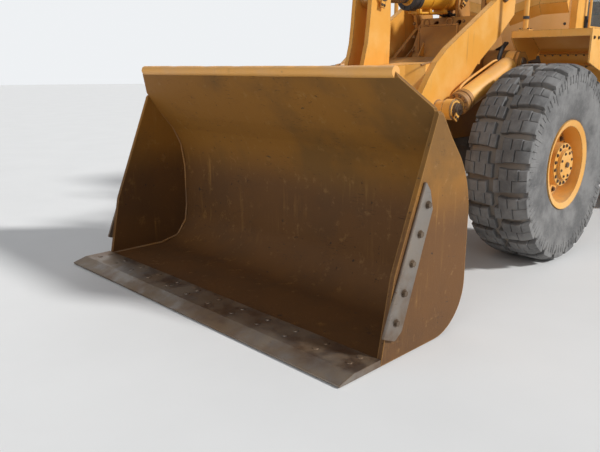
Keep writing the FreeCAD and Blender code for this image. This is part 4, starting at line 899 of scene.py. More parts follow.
@dataclass
class Studio:
    """Floor, backdrop, light and the camera at the photograph's angle."""

    place: Point = (6.207, 3.358, 1.565)
    heading: float = 225.289
    pitch: float = 14.115
    lens: float = 37.81

    def build(self) -> None:
        """Builds the stage."""
        self._floor()
        self._light()
        self._camera()

    def _floor(self) -> None:
        """A wide pale floor."""
        bm = bmesh.new()
        bmesh.ops.create_circle(bm, cap_ends=True, segments=96, radius=60.0)
        mesh = bpy.data.meshes.new("floor")
        bm.to_mesh(mesh)
        bm.free()
        floor = bpy.data.objects.new("floor", mesh)
        bpy.context.scene.collection.objects.link(floor)
        surface = Surface.named("FloorPale", 0.9)
        shade = surface.graph.noise(surface.vector, 1.4, 3.0)
        colour = surface.graph.mix(shade, (0.70, 0.70, 0.69, 1.0), (0.76, 0.76, 0.75, 1.0))
        surface.graph.link(colour, surface.shader.inputs["Base Color"])
        mesh.materials.append(surface.material)

    def _light(self) -> None:
        """A pale sky all round and three suns: a key from the left, a fill from the front and one behind."""
        world = bpy.data.worlds.new("studio")
        bpy.context.scene.world = world
        world.use_nodes = True
        graph = Graph(world.node_tree)
        background = world.node_tree.nodes["Background"]
        path = graph.node("LightPath")
        seen = graph.math("MAXIMUM", path.outputs["Is Camera Ray"], path.outputs["Is Transmission Ray"])
        graph.link(graph.mix(seen, (0.24, 0.25, 0.27, 1.0), (0.86, 0.88, 0.90, 1.0)), background.inputs["Color"])
        background.inputs["Strength"].default_value = 1.0
        for name, way, spread, power in (
            ("key", (-0.42, 0.86, 0.66), 7.0, 3.3),
            ("fill", (0.90, 0.20, 0.45), 50.0, 0.75),
            ("rear", (-0.60, -0.65, 0.60), 50.0, 0.60),
        ):
            lamp = bpy.data.lights.new(name, "SUN")
            lamp.angle = math.radians(spread)
            lamp.energy = power
            made = bpy.data.objects.new(name, lamp)
            made.location = Vector(way) * 12.0
            made.rotation_euler = Vector(way).to_track_quat("Z", "Y").to_euler()
            bpy.context.scene.collection.objects.link(made)

    def _camera(self) -> None:
        """The camera, with the heading measured from forward towards the left."""
        data = bpy.data.cameras.new("camera")
        data.lens = self.lens
        data.sensor_width = 36.0
        camera = bpy.data.objects.new("camera", data)
        camera.location = self.place
        turn, down = math.radians(self.heading), math.radians(self.pitch)
        look = Vector((math.cos(turn) * math.cos(down), math.sin(turn) * math.cos(down), -math.sin(down)))
        camera.rotation_euler = look.to_track_quat("-Z", "Y").to_euler()
        bpy.context.scene.collection.objects.link(camera)
        bpy.context.scene.camera = camera


@dataclass
class CarriedNodes:
    """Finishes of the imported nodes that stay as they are."""

    finishes: Finishes
    frame: dict
    names: dict[str, str] = field(
        default_factory=lambda: {
            "front_axle": "DarkSteel", "rear_axle": "DarkSteel", "engine_block": "SootSteel",
            "side_decks": "DarkSteel", "cab_floor": "DarkSteel", "cab_glass": "CabGlass",
            "door_glass": "CabGlass", "seat": "CushionCloth", "steering_console": "BlackPlastic",
            "tail_grille": "DarkSteel", "hood_stacks": "SootSteel", "rear_lamps": "LensRed",
            "headlamps": "LampShell", "cutting_edge": "BareSteel", "lift_cylinder_rods": "RodChrome",
            "bucket_cylinder_rod": "RodChrome", "steer_rod_left": "RodChrome", "steer_rod_right": "RodChrome",
            # bucket_shell wears dark dirty paint that is partly painted shade
            "bucket_shell": "BucketInside", "hood": "PaintPanel", "engine_cover_left": "PaintPanel",
            "engine_cover_right": "PaintPanel", "cab_shell": "PaintPanel", "cab_roof": "PaintPanel",
            "cab_door": "PaintPanel", "counterweight": "PaintRubbed", "front_fenders": "PaintYellow",
            "rear_fenders": "PaintYellow", "bucket_cylinder_barrel": "PaintCylinder",
            "lift_cylinder_barrels": "PaintRubbed", "bell_crank": "PaintYellow", "lift_arms": "PaintYellow",
            # front_frame wears the soiled paint that is partly painted shade
            "bucket_link": "PaintRubbed", "front_frame": "PaintSoiled", "rear_frame": "PaintRubbed",
            "steer_barrel_left": "PaintCylinder", "steer_barrel_right": "PaintCylinder",
        }
    )

    def build(self) -> None:
        """Dresses every node."""
        for name, node in self.frame["nodes"].items():
            finish = self.names.get(name, "TyreWall" if name.startswith("tyre") else "PaintYellow")
            node.data.materials.clear()
            node.data.materials.append(self.finishes[finish])
            LOG.info("node %s wears %s", name, finish)


@dataclass
class Tyre:
    """Loader tyre: round shouldered carcass and two staggered rows of bars with small middle blocks."""

    finishes: Finishes
    node: str
    body: str
    axle: Point
    radius: float = 0.800
    width: float = 0.520
    depth: float = 0.044
    pitches: int = 22
    seat: float = 0.326

    def crown(self, offset: float) -> float:
        """Radius of the tread's ground at a distance from the middle.

        Args:
            offset: Distance across the tread.

        Returns:
            The radius.
        """
        share = min(1.0, abs(offset) / (self.width / 2.0 - 0.012))
        return self.radius - self.depth - 0.010 * share**2 - 0.050 * max(0.0, share - 0.72) ** 1.6 * 4.0

    def carcass(self, maker: Maker) -> None:
        """Adds the carcass by spinning half outlines."""
        half = self.width / 2.0
        ground = [(self.crown(half * s / 6.0 * 0.96), half * s / 6.0 * 0.96) for s in range(-6, 7)]
        wall = [
            (0.700, 0.988), (0.672, 0.992), (0.660, 0.984), (0.640, 0.990), (0.600, 0.998), (0.560, 1.0),
            (0.520, 0.994), (0.480, 0.975), (0.440, 0.945), (0.410, 0.915), (0.392, 0.905), (0.372, 0.870),
            (0.350, 0.820), (self.seat + 0.002, 0.795),
        ]
        left = [(radius, half * share) for radius, share in wall]
        right = [(radius, -offset) for radius, offset in reversed(left)]
        profile = ground + left + right
        maker.ring(profile, self.axle, "Y", 88)

    def block(self, maker: Maker, low: Point, high: Point, cuts: int, skew: float) -> None:
        """Adds one tread block in flat coordinates: along the circle, across, and up from the ground.

        Args:
            maker: The piece.
            low: Lowest corner.
            high: Highest corner.
            cuts: Divisions across.
            skew: How far its outer end leans along the circle, per metre across.
        """
        bm = bmesh.new()
        a, b = Vector(low), Vector(high)
        size = b - a
        bmesh.ops.create_cube(bm, size=1.0, matrix=Matrix.Translation((a + b) / 2.0) @ Matrix.Diagonal((*size, 1.0)))
        top = [e for e in bm.edges if all(v.co.z > b.z - 0.001 for v in e.verts)]
        bmesh.ops.bevel(bm, geom=top, offset=0.0045, offset_type="OFFSET", segments=1, profile=0.5, affect="EDGES", material=-1)
        for index in range(1, cuts):
            place = a.y + size.y * index / cuts
            bmesh.ops.bisect_plane(bm, geom=bm.verts[:] + bm.edges[:] + bm.faces[:], plane_co=(0, place, 0), plane_no=(0, 1, 0))
        bmesh.ops.bisect_plane(bm, geom=bm.verts[:] + bm.edges[:] + bm.faces[:], plane_co=((a.x + b.x) / 2.0, 0, 0), plane_no=(1, 0, 0))
        for vert in bm.verts:
            spread = 0.006 * (1.0 - (vert.co.z - a.z) / size.z)
            vert.co.x += math.copysign(spread, vert.co.x - (a.x + b.x) / 2.0) if abs(vert.co.x - (a.x + b.x) / 2.0) > 0.002 else 0.0
            vert.co.x += skew * vert.co.y
        mesh = bpy.data.meshes.new("block")
        bm.to_mesh(mesh)
        bm.free()
        maker.bm.from_mesh(mesh)
        bpy.data.meshes.remove(mesh)

    def tread(self, maker: Maker) -> None:
        """Adds the blocks and wraps them round the carcass."""
        half = self.width / 2.0
        pitch = math.tau * self.radius / self.pitches
        before = set(maker.bm.verts)
        for index in range(self.pitches):
            for side, turn in ((1.0, 0.25), (-1.0, 0.75)):
                middle = (index + turn) * pitch
                for near, far, start, end, lean, lift in (
                    (0.006, 0.060, -0.42, 0.02, 0.10, 0.95), (0.048, 0.116, 0.05, 0.47, -0.12, 0.97),
                    (0.066, 0.152, -0.40, 0.02, 0.10, 1.0), (0.122, 0.198, 0.04, 0.41, 0.02, 1.0),
                    (0.158, half - 0.003, -0.38, 0.01, 0.05, 1.0), (0.203, half - 0.003, 0.03, 0.36, 0.05, 1.0),
                ):
                    low, high = sorted((side * near, side * far))
                    cuts = 4 if far > 0.2 else 2
                    self.block(
                        maker, (middle + start * pitch, low, -0.016), (middle + end * pitch, high, self.depth * lift),
                        cuts, side * lean,
                    )
        for vert in maker.bm.verts:
            if vert in before:
                continue
            angle = vert.co.x / self.radius
            ground = self.crown(vert.co.y)
            reach = min(self.radius, ground + vert.co.z)
            offset = vert.co.y
            vert.co = Vector(self.axle) + Vector((reach * math.sin(angle), offset, -reach * math.cos(angle)))

    def shoulder_ribs(self, maker: Maker) -> None:
        """Adds the fine ribs and the heavier buttresses below each bar's end."""
        half = self.width / 2.0
        for side in (1.0, -1.0):
            for index in range(self.pitches * 4):
                angle = math.tau * (index + 0.5) / (self.pitches * 4)
                heavy = index % 4 == (0 if side > 0 else 2)
                wide = 0.016 if heavy else 0.006
                inner, outer = (0.600, 0.735) if heavy else (0.655, 0.722)
                proud = 0.001 if heavy else 0.002
                low, high = sorted((side * (half - 0.020), side * (half + proud)))
                made = maker.box((-wide, low, inner), (wide, high, outer), 0.003, 1)
                turn = Matrix.Rotation(angle, 4, "Y")
                bmesh.ops.transform(maker.bm, matrix=Matrix.Translation(self.axle) @ turn, verts=made)

    def build(self) -> None:
        """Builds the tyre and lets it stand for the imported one."""
        maker = Maker(self.node + "_treaded")
        self.carcass(maker)
        self.tread(maker)
        self.shoulder_ribs(maker)
        made = maker.finish(self.body, self.finishes["TyreTread"], Slot.RUBBER, 40.0)
        groove = made.data.attributes.new("groove", "FLOAT", "POINT")
        centre = Vector(self.axle)
        for vert, value in zip(made.data.vertices, groove.data):
            away = vert.co - centre
            reach = math.hypot(away.x, away.z)
            value.value = max(0.0, min(1.0, (self.crown(away.y) + 0.5 * self.depth - reach) / (0.5 * self.depth))) if reach > self.radius - 1.6 * self.depth else 0.0
        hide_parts(self.node)


@dataclass
class Rim:
    """Wheel nuts, cover bolts, drain plug and valve of one wheel."""

    finishes: Finishes
    name: str
    body: str
    axle: Point
    out: float
    disc: float = 0.074
    cover: float = 0.194
    cap: float = 0.220

    def ring_of_bolts(self, maker: Maker, count: int, reach: float, offset: float, size: float) -> None:
        """Adds bolts in a circle about the axle.

        Args:
            maker: The piece.
            count: Number of bolts.
            reach: Radius of their circle.
            offset: Distance outboard of the tyre's middle.
            size: Radius of a head.
        """
        x, y, z = self.axle
        for index in range(count):
            angle = math.tau * (index + 0.5) / count
            place = (x + reach * math.sin(angle), y + self.out * offset, z + reach * math.cos(angle))
            maker.bolt(place, (0.0, self.out, 0.0), size)

    def build(self) -> None:
        """Builds the pieces."""
        x, y, z = self.axle
        nuts = Maker(self.name + "_wheel_nuts")
        self.ring_of_bolts(nuts, 20, 0.262, self.disc, 0.017)
        self.ring_of_bolts(nuts, 16, 0.153, self.cover, 0.011)
        self.ring_of_bolts(nuts, 8, 0.098, self.cap, 0.009)
        nuts.rod((x, y + self.out * self.cap, z), (x, y + self.out * (self.cap + 0.016), z), 0.022, 6)
        nuts.finish(self.body, self.finishes["PinSteel"], Slot.WORN)
        trim = Maker(self.name + "_rim_rings")
        for reach, offset in ((0.300, self.disc), (0.176, self.disc + 0.004)):
            outline = [(reach - 0.006, -0.002), (reach + 0.006, -0.002), (reach + 0.004, 0.006), (reach - 0.004, 0.006)]
            middle = (x, y + self.out * offset, z)
            trim.ring([(r, self.out * w) for r, w in outline], middle, "Y", 64)
        trim.rod((x + 0.286, y + self.out * 0.07, z), (x + 0.270, y + self.out * 0.125, z), 0.006, 10)
        trim.rod((x + 0.270, y + self.out * 0.118, z), (x + 0.267, y + self.out * 0.135, z), 0.009, 10)
        trim.finish(self.body, self.finishes["PaintRubbed"], Slot.PAINT)


@dataclass
class BucketDress:
    """What is bolted and welded to the bucket: edge bolts, side cutters, rubbed lip and weld beads."""

    finishes: Finishes
    half: float = 1.460
    lip_half: float = 1.250
    lip: tuple[float, float] = (2.302, 1.542)
    lip_radius: float = 0.0345
    edge_top: float = 0.046

    def lip_roll(self) -> None:
        """The rolled lip with the dents that a load leaves."""
        maker = Maker("bucket_lip_roll")
        x, z = self.lip
        steps = 260
        reach = self.lip_half + 0.004
        maker.rod(at(x, -reach, z), at(x, reach, z), self.lip_radius, 16)
        for index in range(1, steps):
            bmesh.ops.bisect_plane(
                maker.bm, geom=maker.bm.verts[:] + maker.bm.edges[:] + maker.bm.faces[:],
                plane_co=(0.0, -reach + 2.0 * reach * index / steps, 0.0), plane_no=(0.0, 1.0, 0.0),
            )
        middle = Vector(at(x, 0.0, z))
        for vert in maker.bm.verts:
            away = Vector((vert.co.x - middle.x, 0.0, vert.co.z - middle.z))
            long_wave = noise.noise(Vector((0.3, vert.co.y * 2.2, 7.0)))
            dents = min(0.0, noise.noise(Vector((vert.co.x * 9.0, vert.co.y * 8.0, vert.co.z * 9.0))) + 0.12)
            vert.co += away.normalized() * (0.0012 * long_wave + 0.0045 * dents)
        maker.finish("bucket", self.finishes["LipPaint"], Slot.PAINT, 60.0)

    def edge_bolts(self) -> None:
        """Flat bolt heads in two rows on the cutting edge."""
        maker = Maker("cutting_edge_bolts")
        for index in range(12):
            y = -1.36 + 2.72 * index / 11.0
            for x in (2.672, 2.762):
                maker.rod(at(x, y, self.edge_top - 0.004), at(x, y, self.edge_top + 0.0035), 0.021, 18, 0.018)
                maker.rod(at(x, y, self.edge_top + 0.0035), at(x, y, self.edge_top + 0.0045), 0.008, 6)
        maker.finish("bucket", self.finishes["BareSteel"], Slot.WORN)

    def side_cutters(self) -> None:
        """Plates on the front edges of the bucket's sides, each held by five bolts."""
        plates = Maker("bucket_side_cutters")
        bolts = Maker("bucket_side_bolts")
        lower, upper = Vector((2.628, 0.170)), Vector((2.300, 0.975))
        along = (upper - lower).normalized()
        back = Vector((-along.y, along.x))
        corners = [
            lower + back * 0.004, upper + back * 0.004, upper + back * 0.060 + along * -0.03,
            upper + back * 0.130 + along * -0.12, lower + back * 0.150 + along * 0.06, lower + back * 0.110,
        ]
        face = plates.bm.faces.new([plates.bm.verts.new(at(c.x, self.half + 0.001, c.y)) for c in corners])
        made = bmesh.ops.extrude_face_region(plates.bm, geom=[face])["geom"]
        moved = [v for v in made if isinstance(v, bmesh.types.BMVert)]
        bmesh.ops.translate(plates.bm, verts=moved, vec=(0.0, 0.020, 0.0))
        bmesh.ops.bevel(
            plates.bm, geom=plates.bm.edges[:], offset=0.004, offset_type="OFFSET", segments=2, profile=0.5,
            affect="EDGES", material=-1,
        )
        for index in range(5):
            spot = lower + along * (0.10 + 0.165 * index) + back * 0.070
            bolts.bolt(at(spot.x, self.half + 0.021, spot.y), (0.0, 1.0, 0.0), 0.017)
        for maker in (plates, bolts):
            maker.mirrored()
        plates.finish("bucket", self.finishes["BareSteel"], Slot.WORN)
        bolts.finish("bucket", self.finishes["PinSteel"], Slot.WORN)

    def weld_beads(self) -> None:
        """Weld beads inside the corners and round the lugs behind."""
        maker = Maker("bucket_weld_beads")
        inner = self.half - 0.031
        spots = [(2.66, 0.032), (2.13, 0.033), (1.955, 0.075), (1.862, 0.20), (1.842, 0.34), (1.842, 0.70), (1.873, 0.90), (1.952, 1.058), (2.052, 1.176)]
        for (x0, z0), (x1, z1) in zip(spots, spots[1:]):
            maker.weld(at(x0, inner, z0), at(x1, inner, z1), 0.009)
        for y in (0.4, 0.434, 0.511, 0.543):
            maker.weld(at(1.826, y, 0.16), at(1.806, y, 0.34), 0.008)
            maker.weld(at(1.806, y, 0.34), at(1.806, y, 0.70), 0.008)
        for y in (0.056, 0.090):
            maker.weld(at(1.812, y, 0.60), at(1.826, y, 0.80), 0.008)
            maker.weld(at(1.826, y, 0.80), at(1.878, y, 0.95), 0.008)
        maker.weld(at(2.040, 0.02, 1.196), at(2.040, 1.40, 1.196), 0.007)
        maker.mirrored()
        maker.finish("bucket", self.finishes["WeldBead"], Slot.PAINT, 60.0)

    def guard_ribs(self) -> None:
        """Stiffeners behind the spill guard."""
        maker = Maker("bucket_guard_ribs")
        for y in (0.0, 0.42, 0.84, 1.18):
            corners = [(2.018, 1.150), (2.290, 1.516), (2.262, 1.536), (1.985, 1.176)]
            ring = [maker.bm.verts.new(at(x, y - 0.008, z)) for x, z in corners]
            made = bmesh.ops.extrude_face_region(maker.bm, geom=[maker.bm.faces.new(ring)])["geom"]
            bmesh.ops.translate(maker.bm, verts=[v for v in made if isinstance(v, bmesh.types.BMVert)], vec=(0.0, 0.016, 0.0))
        maker.mirrored()
        maker.finish("bucket", self.finishes["PaintRubbed"], Slot.PAINT)

    def build(self) -> None:
        """Builds the pieces."""
        self.lip_roll()
        self.edge_bolts()
        self.side_cutters()
        self.weld_beads()
        self.guard_ribs()


@dataclass
class Pin:
    """End of a pivot pin: cap, flag plate with two bolts and a grease nipple."""

    place: Point
    out: Point
    radius: float
    flag: float = 0.0

    def add(self, steel: Maker, paint: Maker) -> None:
        """Adds the cap.

        Args:
            steel: Piece of bare parts.
            paint: Piece of painted parts.
        """
        base, way = Vector(self.place), Vector(self.out).normalized()
        steel.rod(base - way * 0.002, base + way * 0.012, self.radius, 32, self.radius * 0.94, 0.003)
        steel.rod(base + way * 0.012, base + way * 0.016, self.radius * 0.30, 6)
        steel.rod(base + way * 0.016, base + way * 0.028, 0.005, 10, 0.0035)
        if self.flag > 0.0:
            down = Vector((math.sin(self.flag), 0.0, -math.cos(self.flag)))
            far = base + down * (self.radius + 0.045)
            side = down.cross(way).normalized() * 0.026
            ring = [paint.bm.verts.new(base + down * self.radius * 0.5 + side), paint.bm.verts.new(far + side), paint.bm.verts.new(far - side), paint.bm.verts.new(base + down * self.radius * 0.5 - side)]
            made = bmesh.ops.extrude_face_region(paint.bm, geom=[paint.bm.faces.new(ring)])["geom"]
            bmesh.ops.translate(paint.bm, verts=[v for v in made if isinstance(v, bmesh.types.BMVert)], vec=way * 0.010)
            for lean in (-0.014, 0.014):
                steel.bolt(far - down * 0.020 + side.normalized() * lean + way * 0.010, tuple(way), 0.0085)


@dataclass
class LinkageDress:
    """Pin caps, glands, hoses and brackets of the arms, the crank and the cylinders."""

    finishes: Finishes
    arm_pin: tuple[float, float] = (-0.230, 2.170)
    toe_pin: tuple[float, float] = (1.640, 0.440)
    crank_pin: tuple[float, float] = (1.060, 1.390)
    crank_top: tuple[float, float] = (0.980, 2.112)
    crank_foot: tuple[float, float] = (0.860, 0.761)
    link_pin: tuple[float, float] = (1.690, 0.800)
    lift_base: tuple[float, float] = (-0.235, 1.612)
    lift_eye: tuple[float, float] = (0.728, 1.245)
    tilt_base: tuple[float, float] = (-0.240, 2.180)
    lift_y: float = 0.620

    def along(self, a: tuple[float, float], b: tuple[float, float], distance: float, y: float = 0.0) -> Vector:
        """A point on the line from one pin to another.

        Args:
            a: (x, z) of the first pin.
            b: (x, z) of the second pin.
            distance: Metres from the first pin.
            y: Where it is across the machine.

        Returns:
            The point in the part's frame.
        """
        start, way = Vector(a), (Vector(b) - Vector(a)).normalized()
        spot = start + way * distance
        return Vector(at(spot.x, y, spot.y))

    def pins(self) -> None:
        """Caps of every pin on the body that carries it."""
        for body, pins in (
            ("front_body", (
                Pin(at(self.arm_pin[0], 0.505, self.arm_pin[1]), (0, 1, 0), 0.052),
                Pin(at(self.lift_base[0], 0.713, self.lift_base[1]), (0, 1, 0), 0.038),
                Pin(at(self.tilt_base[0], 0.098, self.tilt_base[1]), (0, 1, 0), 0.040, 0.5),
            )),
            ("arms", (Pin(at(self.crank_pin[0], 0.165, self.crank_pin[1]), (0, 1, 0), 0.048),)),
            ("crank", (
                Pin(at(self.crank_top[0], 0.118, self.crank_top[1]), (0, 1, 0), 0.050, 0.2),
                Pin(at(self.crank_foot[0], 0.114, self.crank_foot[1]), (0, 1, 0), 0.046, 2.9),
            )),
            ("bucket", (
                Pin(at(self.toe_pin[0], 0.557, self.toe_pin[1]), (0, 1, 0), 0.043, 2.0),
                Pin(at(self.link_pin[0], 0.102, self.link_pin[1]), (0, 1, 0), 0.042, 2.4),
            )),
            ("lift_rods", (Pin(at(self.lift_eye[0], 0.689, self.lift_eye[1]), (0, 1, 0), 0.047, 0.6),)),
        ):
            steel, paint = Maker(body + "_pin_caps"), Maker(body + "_pin_flags")
            for pin in pins:
                pin.add(steel, paint)
            steel.mirrored()
            steel.finish(body, self.finishes["PinSteel"], Slot.WORN)
            if any(pin.flag for pin in pins):
                paint.mirrored()
                paint.finish(body, self.finishes["PaintRubbed"], Slot.PAINT)
            else:
                paint.bm.free()

    def gland(self, maker: Maker, end: Vector, way: Vector, radius: float, length: float, bolts: int) -> None:
        """Adds a cylinder's bolted gland round its end.

        Args:
            maker: The piece.
            end: Middle of the gland's face.
            way: The way the rod leaves.
            radius: Its outer radius.
            length: Its length.
            bolts: Number of bolts in its face.
        """
        outline = [
            (radius * 0.70, -length), (radius, -length), (radius, -length * 0.62), (radius * 0.93, -length * 0.58),
            (radius * 0.93, -length * 0.34), (radius, -length * 0.30), (radius, -0.006), (radius - 0.006, 0.0),
            (radius * 0.62, 0.0),
        ]
        turn = Vector((0, 0, 1)).rotation_difference(way).to_matrix().to_4x4()
        first = set(maker.bm.verts)
        maker.ring(outline, (0.0, 0.0, 0.0), "Z", 40)
        for index in range(bolts):
            angle = math.tau * (index + 0.5) / bolts
            spot = (radius * 0.80 * math.cos(angle), radius * 0.80 * math.sin(angle), 0.0)
            maker.bolt(spot, (0, 0, 1), 0.0095)
        fresh = [v for v in maker.bm.verts if v not in first]
        bmesh.ops.transform(maker.bm, matrix=Matrix.Translation(end) @ turn, verts=fresh)

    def glands(self) -> None:
        """Glands of the lift cylinders and the bucket cylinder."""
        maker = Maker("lift_cylinder_glands")
        way = (Vector(at(self.lift_eye[0], 0, self.lift_eye[1])) - Vector(at(self.lift_base[0], 0, self.lift_base[1]))).normalized()
        self.gland(maker, self.along(self.lift_base, self.lift_eye, 0.927, self.lift_y), way, 0.092, 0.100, 8)
        maker.mirrored()
        # the glands' dark brown soiled paint is partly painted shade
        maker.finish("lift_barrels", self.finishes["PaintSoiled"], Slot.PAINT)
        maker = Maker("bucket_cylinder_gland")
        way = (Vector(at(self.crank_top[0], 0, self.crank_top[1])) - Vector(at(self.tilt_base[0], 0, self.tilt_base[1]))).normalized()
        self.gland(maker, self.along(self.tilt_base, self.crank_top, 0.757), way, 0.108, 0.110, 8)
        maker.finish("tilt_barrel", self.finishes["DarkSteel"], Slot.DARK)

    def cylinder_pipes(self) -> None:
        """Oil pipes along the barrels with their clamps."""
        metal = self.finishes["PaintCylinder"]
        low, up = self.along(self.tilt_base, self.crank_top, 0.20), self.along(self.tilt_base, self.crank_top, 0.66)
        hose(
            "bucket_cylinder_pipes",
            [[tuple(up + Vector((0.0, y, -0.085))), tuple(up + Vector((-0.02, y, -0.128))), tuple(up.lerp(low, 0.2) + Vector((0, y, -0.128))),
              tuple(up.lerp(low, 0.85) + Vector((0, y, -0.128))), tuple(low + Vector((0.0, y, -0.126)))] for y in (0.040, -0.040)],
            0.011, "tilt_barrel", metal,
        )
        clamps = Maker("bucket_cylinder_clamps")
        way = (up - low).normalized()
        for share in (0.12, 0.62, 0.95):
            spot = low.lerp(up, share)
            side = way.cross(Vector((0, 1, 0))).normalized()
            if side.z > 0.0:
                side = -side
            clamps.box(tuple(spot + side * 0.112 - Vector((0.016, 0.062, 0.020))), tuple(spot + side * 0.112 + Vector((0.016, 0.062, 0.016))), 0.003)
            for y in (-0.018, 0.018):
                clamps.bolt(tuple(spot + side * 0.134 + Vector((0.0, y, 0.0))), tuple(side), 0.008)
            outline = [(0.1005, -0.013), (0.106, -0.013), (0.106, 0.013), (0.1005, 0.013)]
            turn = Vector((0, 0, 1)).rotation_difference(way).to_matrix().to_4x4()
            first = set(clamps.bm.verts)
            clamps.ring(outline, (0.0, 0.0, 0.0), "Z", 40)
            bmesh.ops.transform(clamps.bm, matrix=Matrix.Translation(spot) @ turn, verts=[v for v in clamps.bm.verts if v not in first])
        clamps.finish("tilt_barrel", self.finishes["PaintCylinder"], Slot.PAINT)
        runs = []
        for side in (1.0, -1.0):
            base = self.along(self.lift_base, self.lift_eye, 0.17, side * self.lift_y)
            tip = self.along(self.lift_base, self.lift_eye, 0.80, side * self.lift_y)
            lift = Vector((0.014, -side * 0.062, 0.074))
            runs.append([tuple(base + lift * 0.9), tuple(base + lift * 1.15), tuple(base.lerp(tip, 0.3) + lift * 1.15), tuple(tip + lift * 1.15), tuple(tip + lift * 0.85)])
        hose("lift_cylinder_pipes", runs, 0.010, "lift_barrels", self.finishes["PaintRubbed"])

    def eye_collars(self) -> None:
        """Painted collars, face rings, pin caps and nuts on the lift cylinders' rod eyes."""
        collars, caps = Maker("rod_eye_collars"), Maker("rod_eye_caps")
        centre = at(0.728, 0.620, 1.245)
        collars.ring([(0.0783, -0.040), (0.0815, -0.036), (0.0815, 0.036), (0.0783, 0.040)], centre, "Y", 48)
        collars.ring([(0.054, 0.0432), (0.077, 0.0432), (0.075, 0.0465), (0.056, 0.0465)], centre, "Y", 48)
        caps.ring([(0.0503, 0.045), (0.0525, 0.047), (0.0525, 0.068), (0.046, 0.0705), (0.0, 0.0705), (0.0, 0.0692), (0.0503, 0.0692)], centre, "Y", 44)
        caps.rod((centre[0], centre[1] + 0.070, centre[2]), (centre[0], centre[1] + 0.086, centre[2]), 0.021, 6, None, 0.002)
        for piece, finish, slot in ((collars, "PaintRubbed", Slot.PAINT), (caps, "PinSteel", Slot.WORN)):
            piece.mirrored()
            piece.finish("lift_rods", self.finishes[finish], slot)

    def tower_details(self) -> None:
        """Straps, rings, bolts and gussets on the tower's front sheet."""
        marks, gussets = Maker("tower_front_straps"), Maker("tower_gussets")
        marks.box(at(0.024, -0.200, 1.925), at(0.034, 0.200, 1.945), 0.002)
        marks.box(at(0.024, -0.210, 1.700), at(0.036, -0.190, 1.945), 0.002)
        marks.box(at(0.024, 0.190, 1.700), at(0.036, 0.210, 1.945), 0.002)
        for y in (-0.12, 0.12):
            marks.ring([(0.0255, 0.0), (0.036, 0.0), (0.036, 0.008), (0.0255, 0.008)], at(0.0282, y, 1.960), "X", 28)
        for y in (-0.26, 0.26):
            for z in (1.72, 1.84, 1.96):
                marks.bolt(at(0.0282, y, z), (1, 0, 0), 0.011)
        for y in (-0.150, 0.150):
            gussets.plate([at(0.028, y, 1.665), at(0.028, y, 1.800), at(0.110, y, 1.665)], (0.0, 0.012, 0.0), 0.001)
        # the straps' dark soiled paint is partly painted shade
        marks.finish("front_body", self.finishes["PaintSoiled"], Slot.PAINT)
        gussets.finish("front_body", self.finishes["PaintRubbed"], Slot.PAINT)

    def hoses(self) -> None:
        """Hoses from the front frame's ports to the cylinders' bases."""
        runs = []
        for y in (0.052, -0.052):
            low = self.along(self.tilt_base, self.crank_top, 0.19, y)
            runs.append([tuple(low + Vector((0.0, 0.0, -0.120))), tuple(low + Vector((-0.06, 0.0, -0.150))), at(-0.20, y, 2.045), at(-0.235, y, 2.030), at(-0.235, y, 2.005)])
        hose("bucket_cylinder_hoses", runs, 0.013, "tilt_barrel", self.finishes["HoseRubber"])
        runs = []
        for side in (1.0, -1.0):
            for shift in (0.0, 0.034):
                port = self.along(self.lift_base, self.lift_eye, 0.17 - shift, side * self.lift_y) + Vector((0.012, -side * 0.056, 0.066))
                runs.append([
                    at(-0.36 - shift, side * 0.379, 1.72), at(-0.35 - shift, side * 0.43, 1.74), at(-0.30 - shift, side * 0.50, 1.775),
                    at(-0.20 - shift, side * 0.545, 1.775), tuple(port + Vector((0.0, 0.0, 0.055))), tuple(port),
                ])
        bend = ("lift_barrels", at(-0.330, 0.0, 1.750), at(-0.130, 0.0, 1.700))
        hose("lift_cylinder_hoses", runs, 0.012, "front_body", self.finishes["HoseRubber"], bend=bend)

    def arm_details(self) -> None:
        """Weld beads where the carrier and the bosses meet the arms."""
        welds = Maker("lift_arm_welds")
        inner = 0.444
        spots = [(0.66, 1.545), (0.71, 1.608), (0.80, 1.602), (0.90, 1.585)]
        for (x0, z0), (x1, z1) in zip(spots, spots[1:]):
            welds.weld(at(x0, inner, z0), at(x1, inner, z1), 0.008)
        for angle in range(0, 360, 20):
            a, b = math.radians(angle), math.radians(angle + 20)
            for (cx, cz), radius, y in ((self.lift_eye, 0.070, 0.502), (self.toe_pin, 0.110, 0.500)):
                welds.weld(at(cx + radius * math.cos(a), y, cz + radius * math.sin(a)), at(cx + radius * math.cos(b), y, cz + radius * math.sin(b)), 0.006)
        welds.mirrored()
        welds.finish("arms", self.finishes["WeldBead"], Slot.PAINT, 60.0)

    def build(self) -> None:
        """Builds the pieces."""
        self.pins()
        self.glands()
        self.cylinder_pipes()
        self.hoses()
        self.arm_details()
        self.eye_collars()
        self.tower_details()


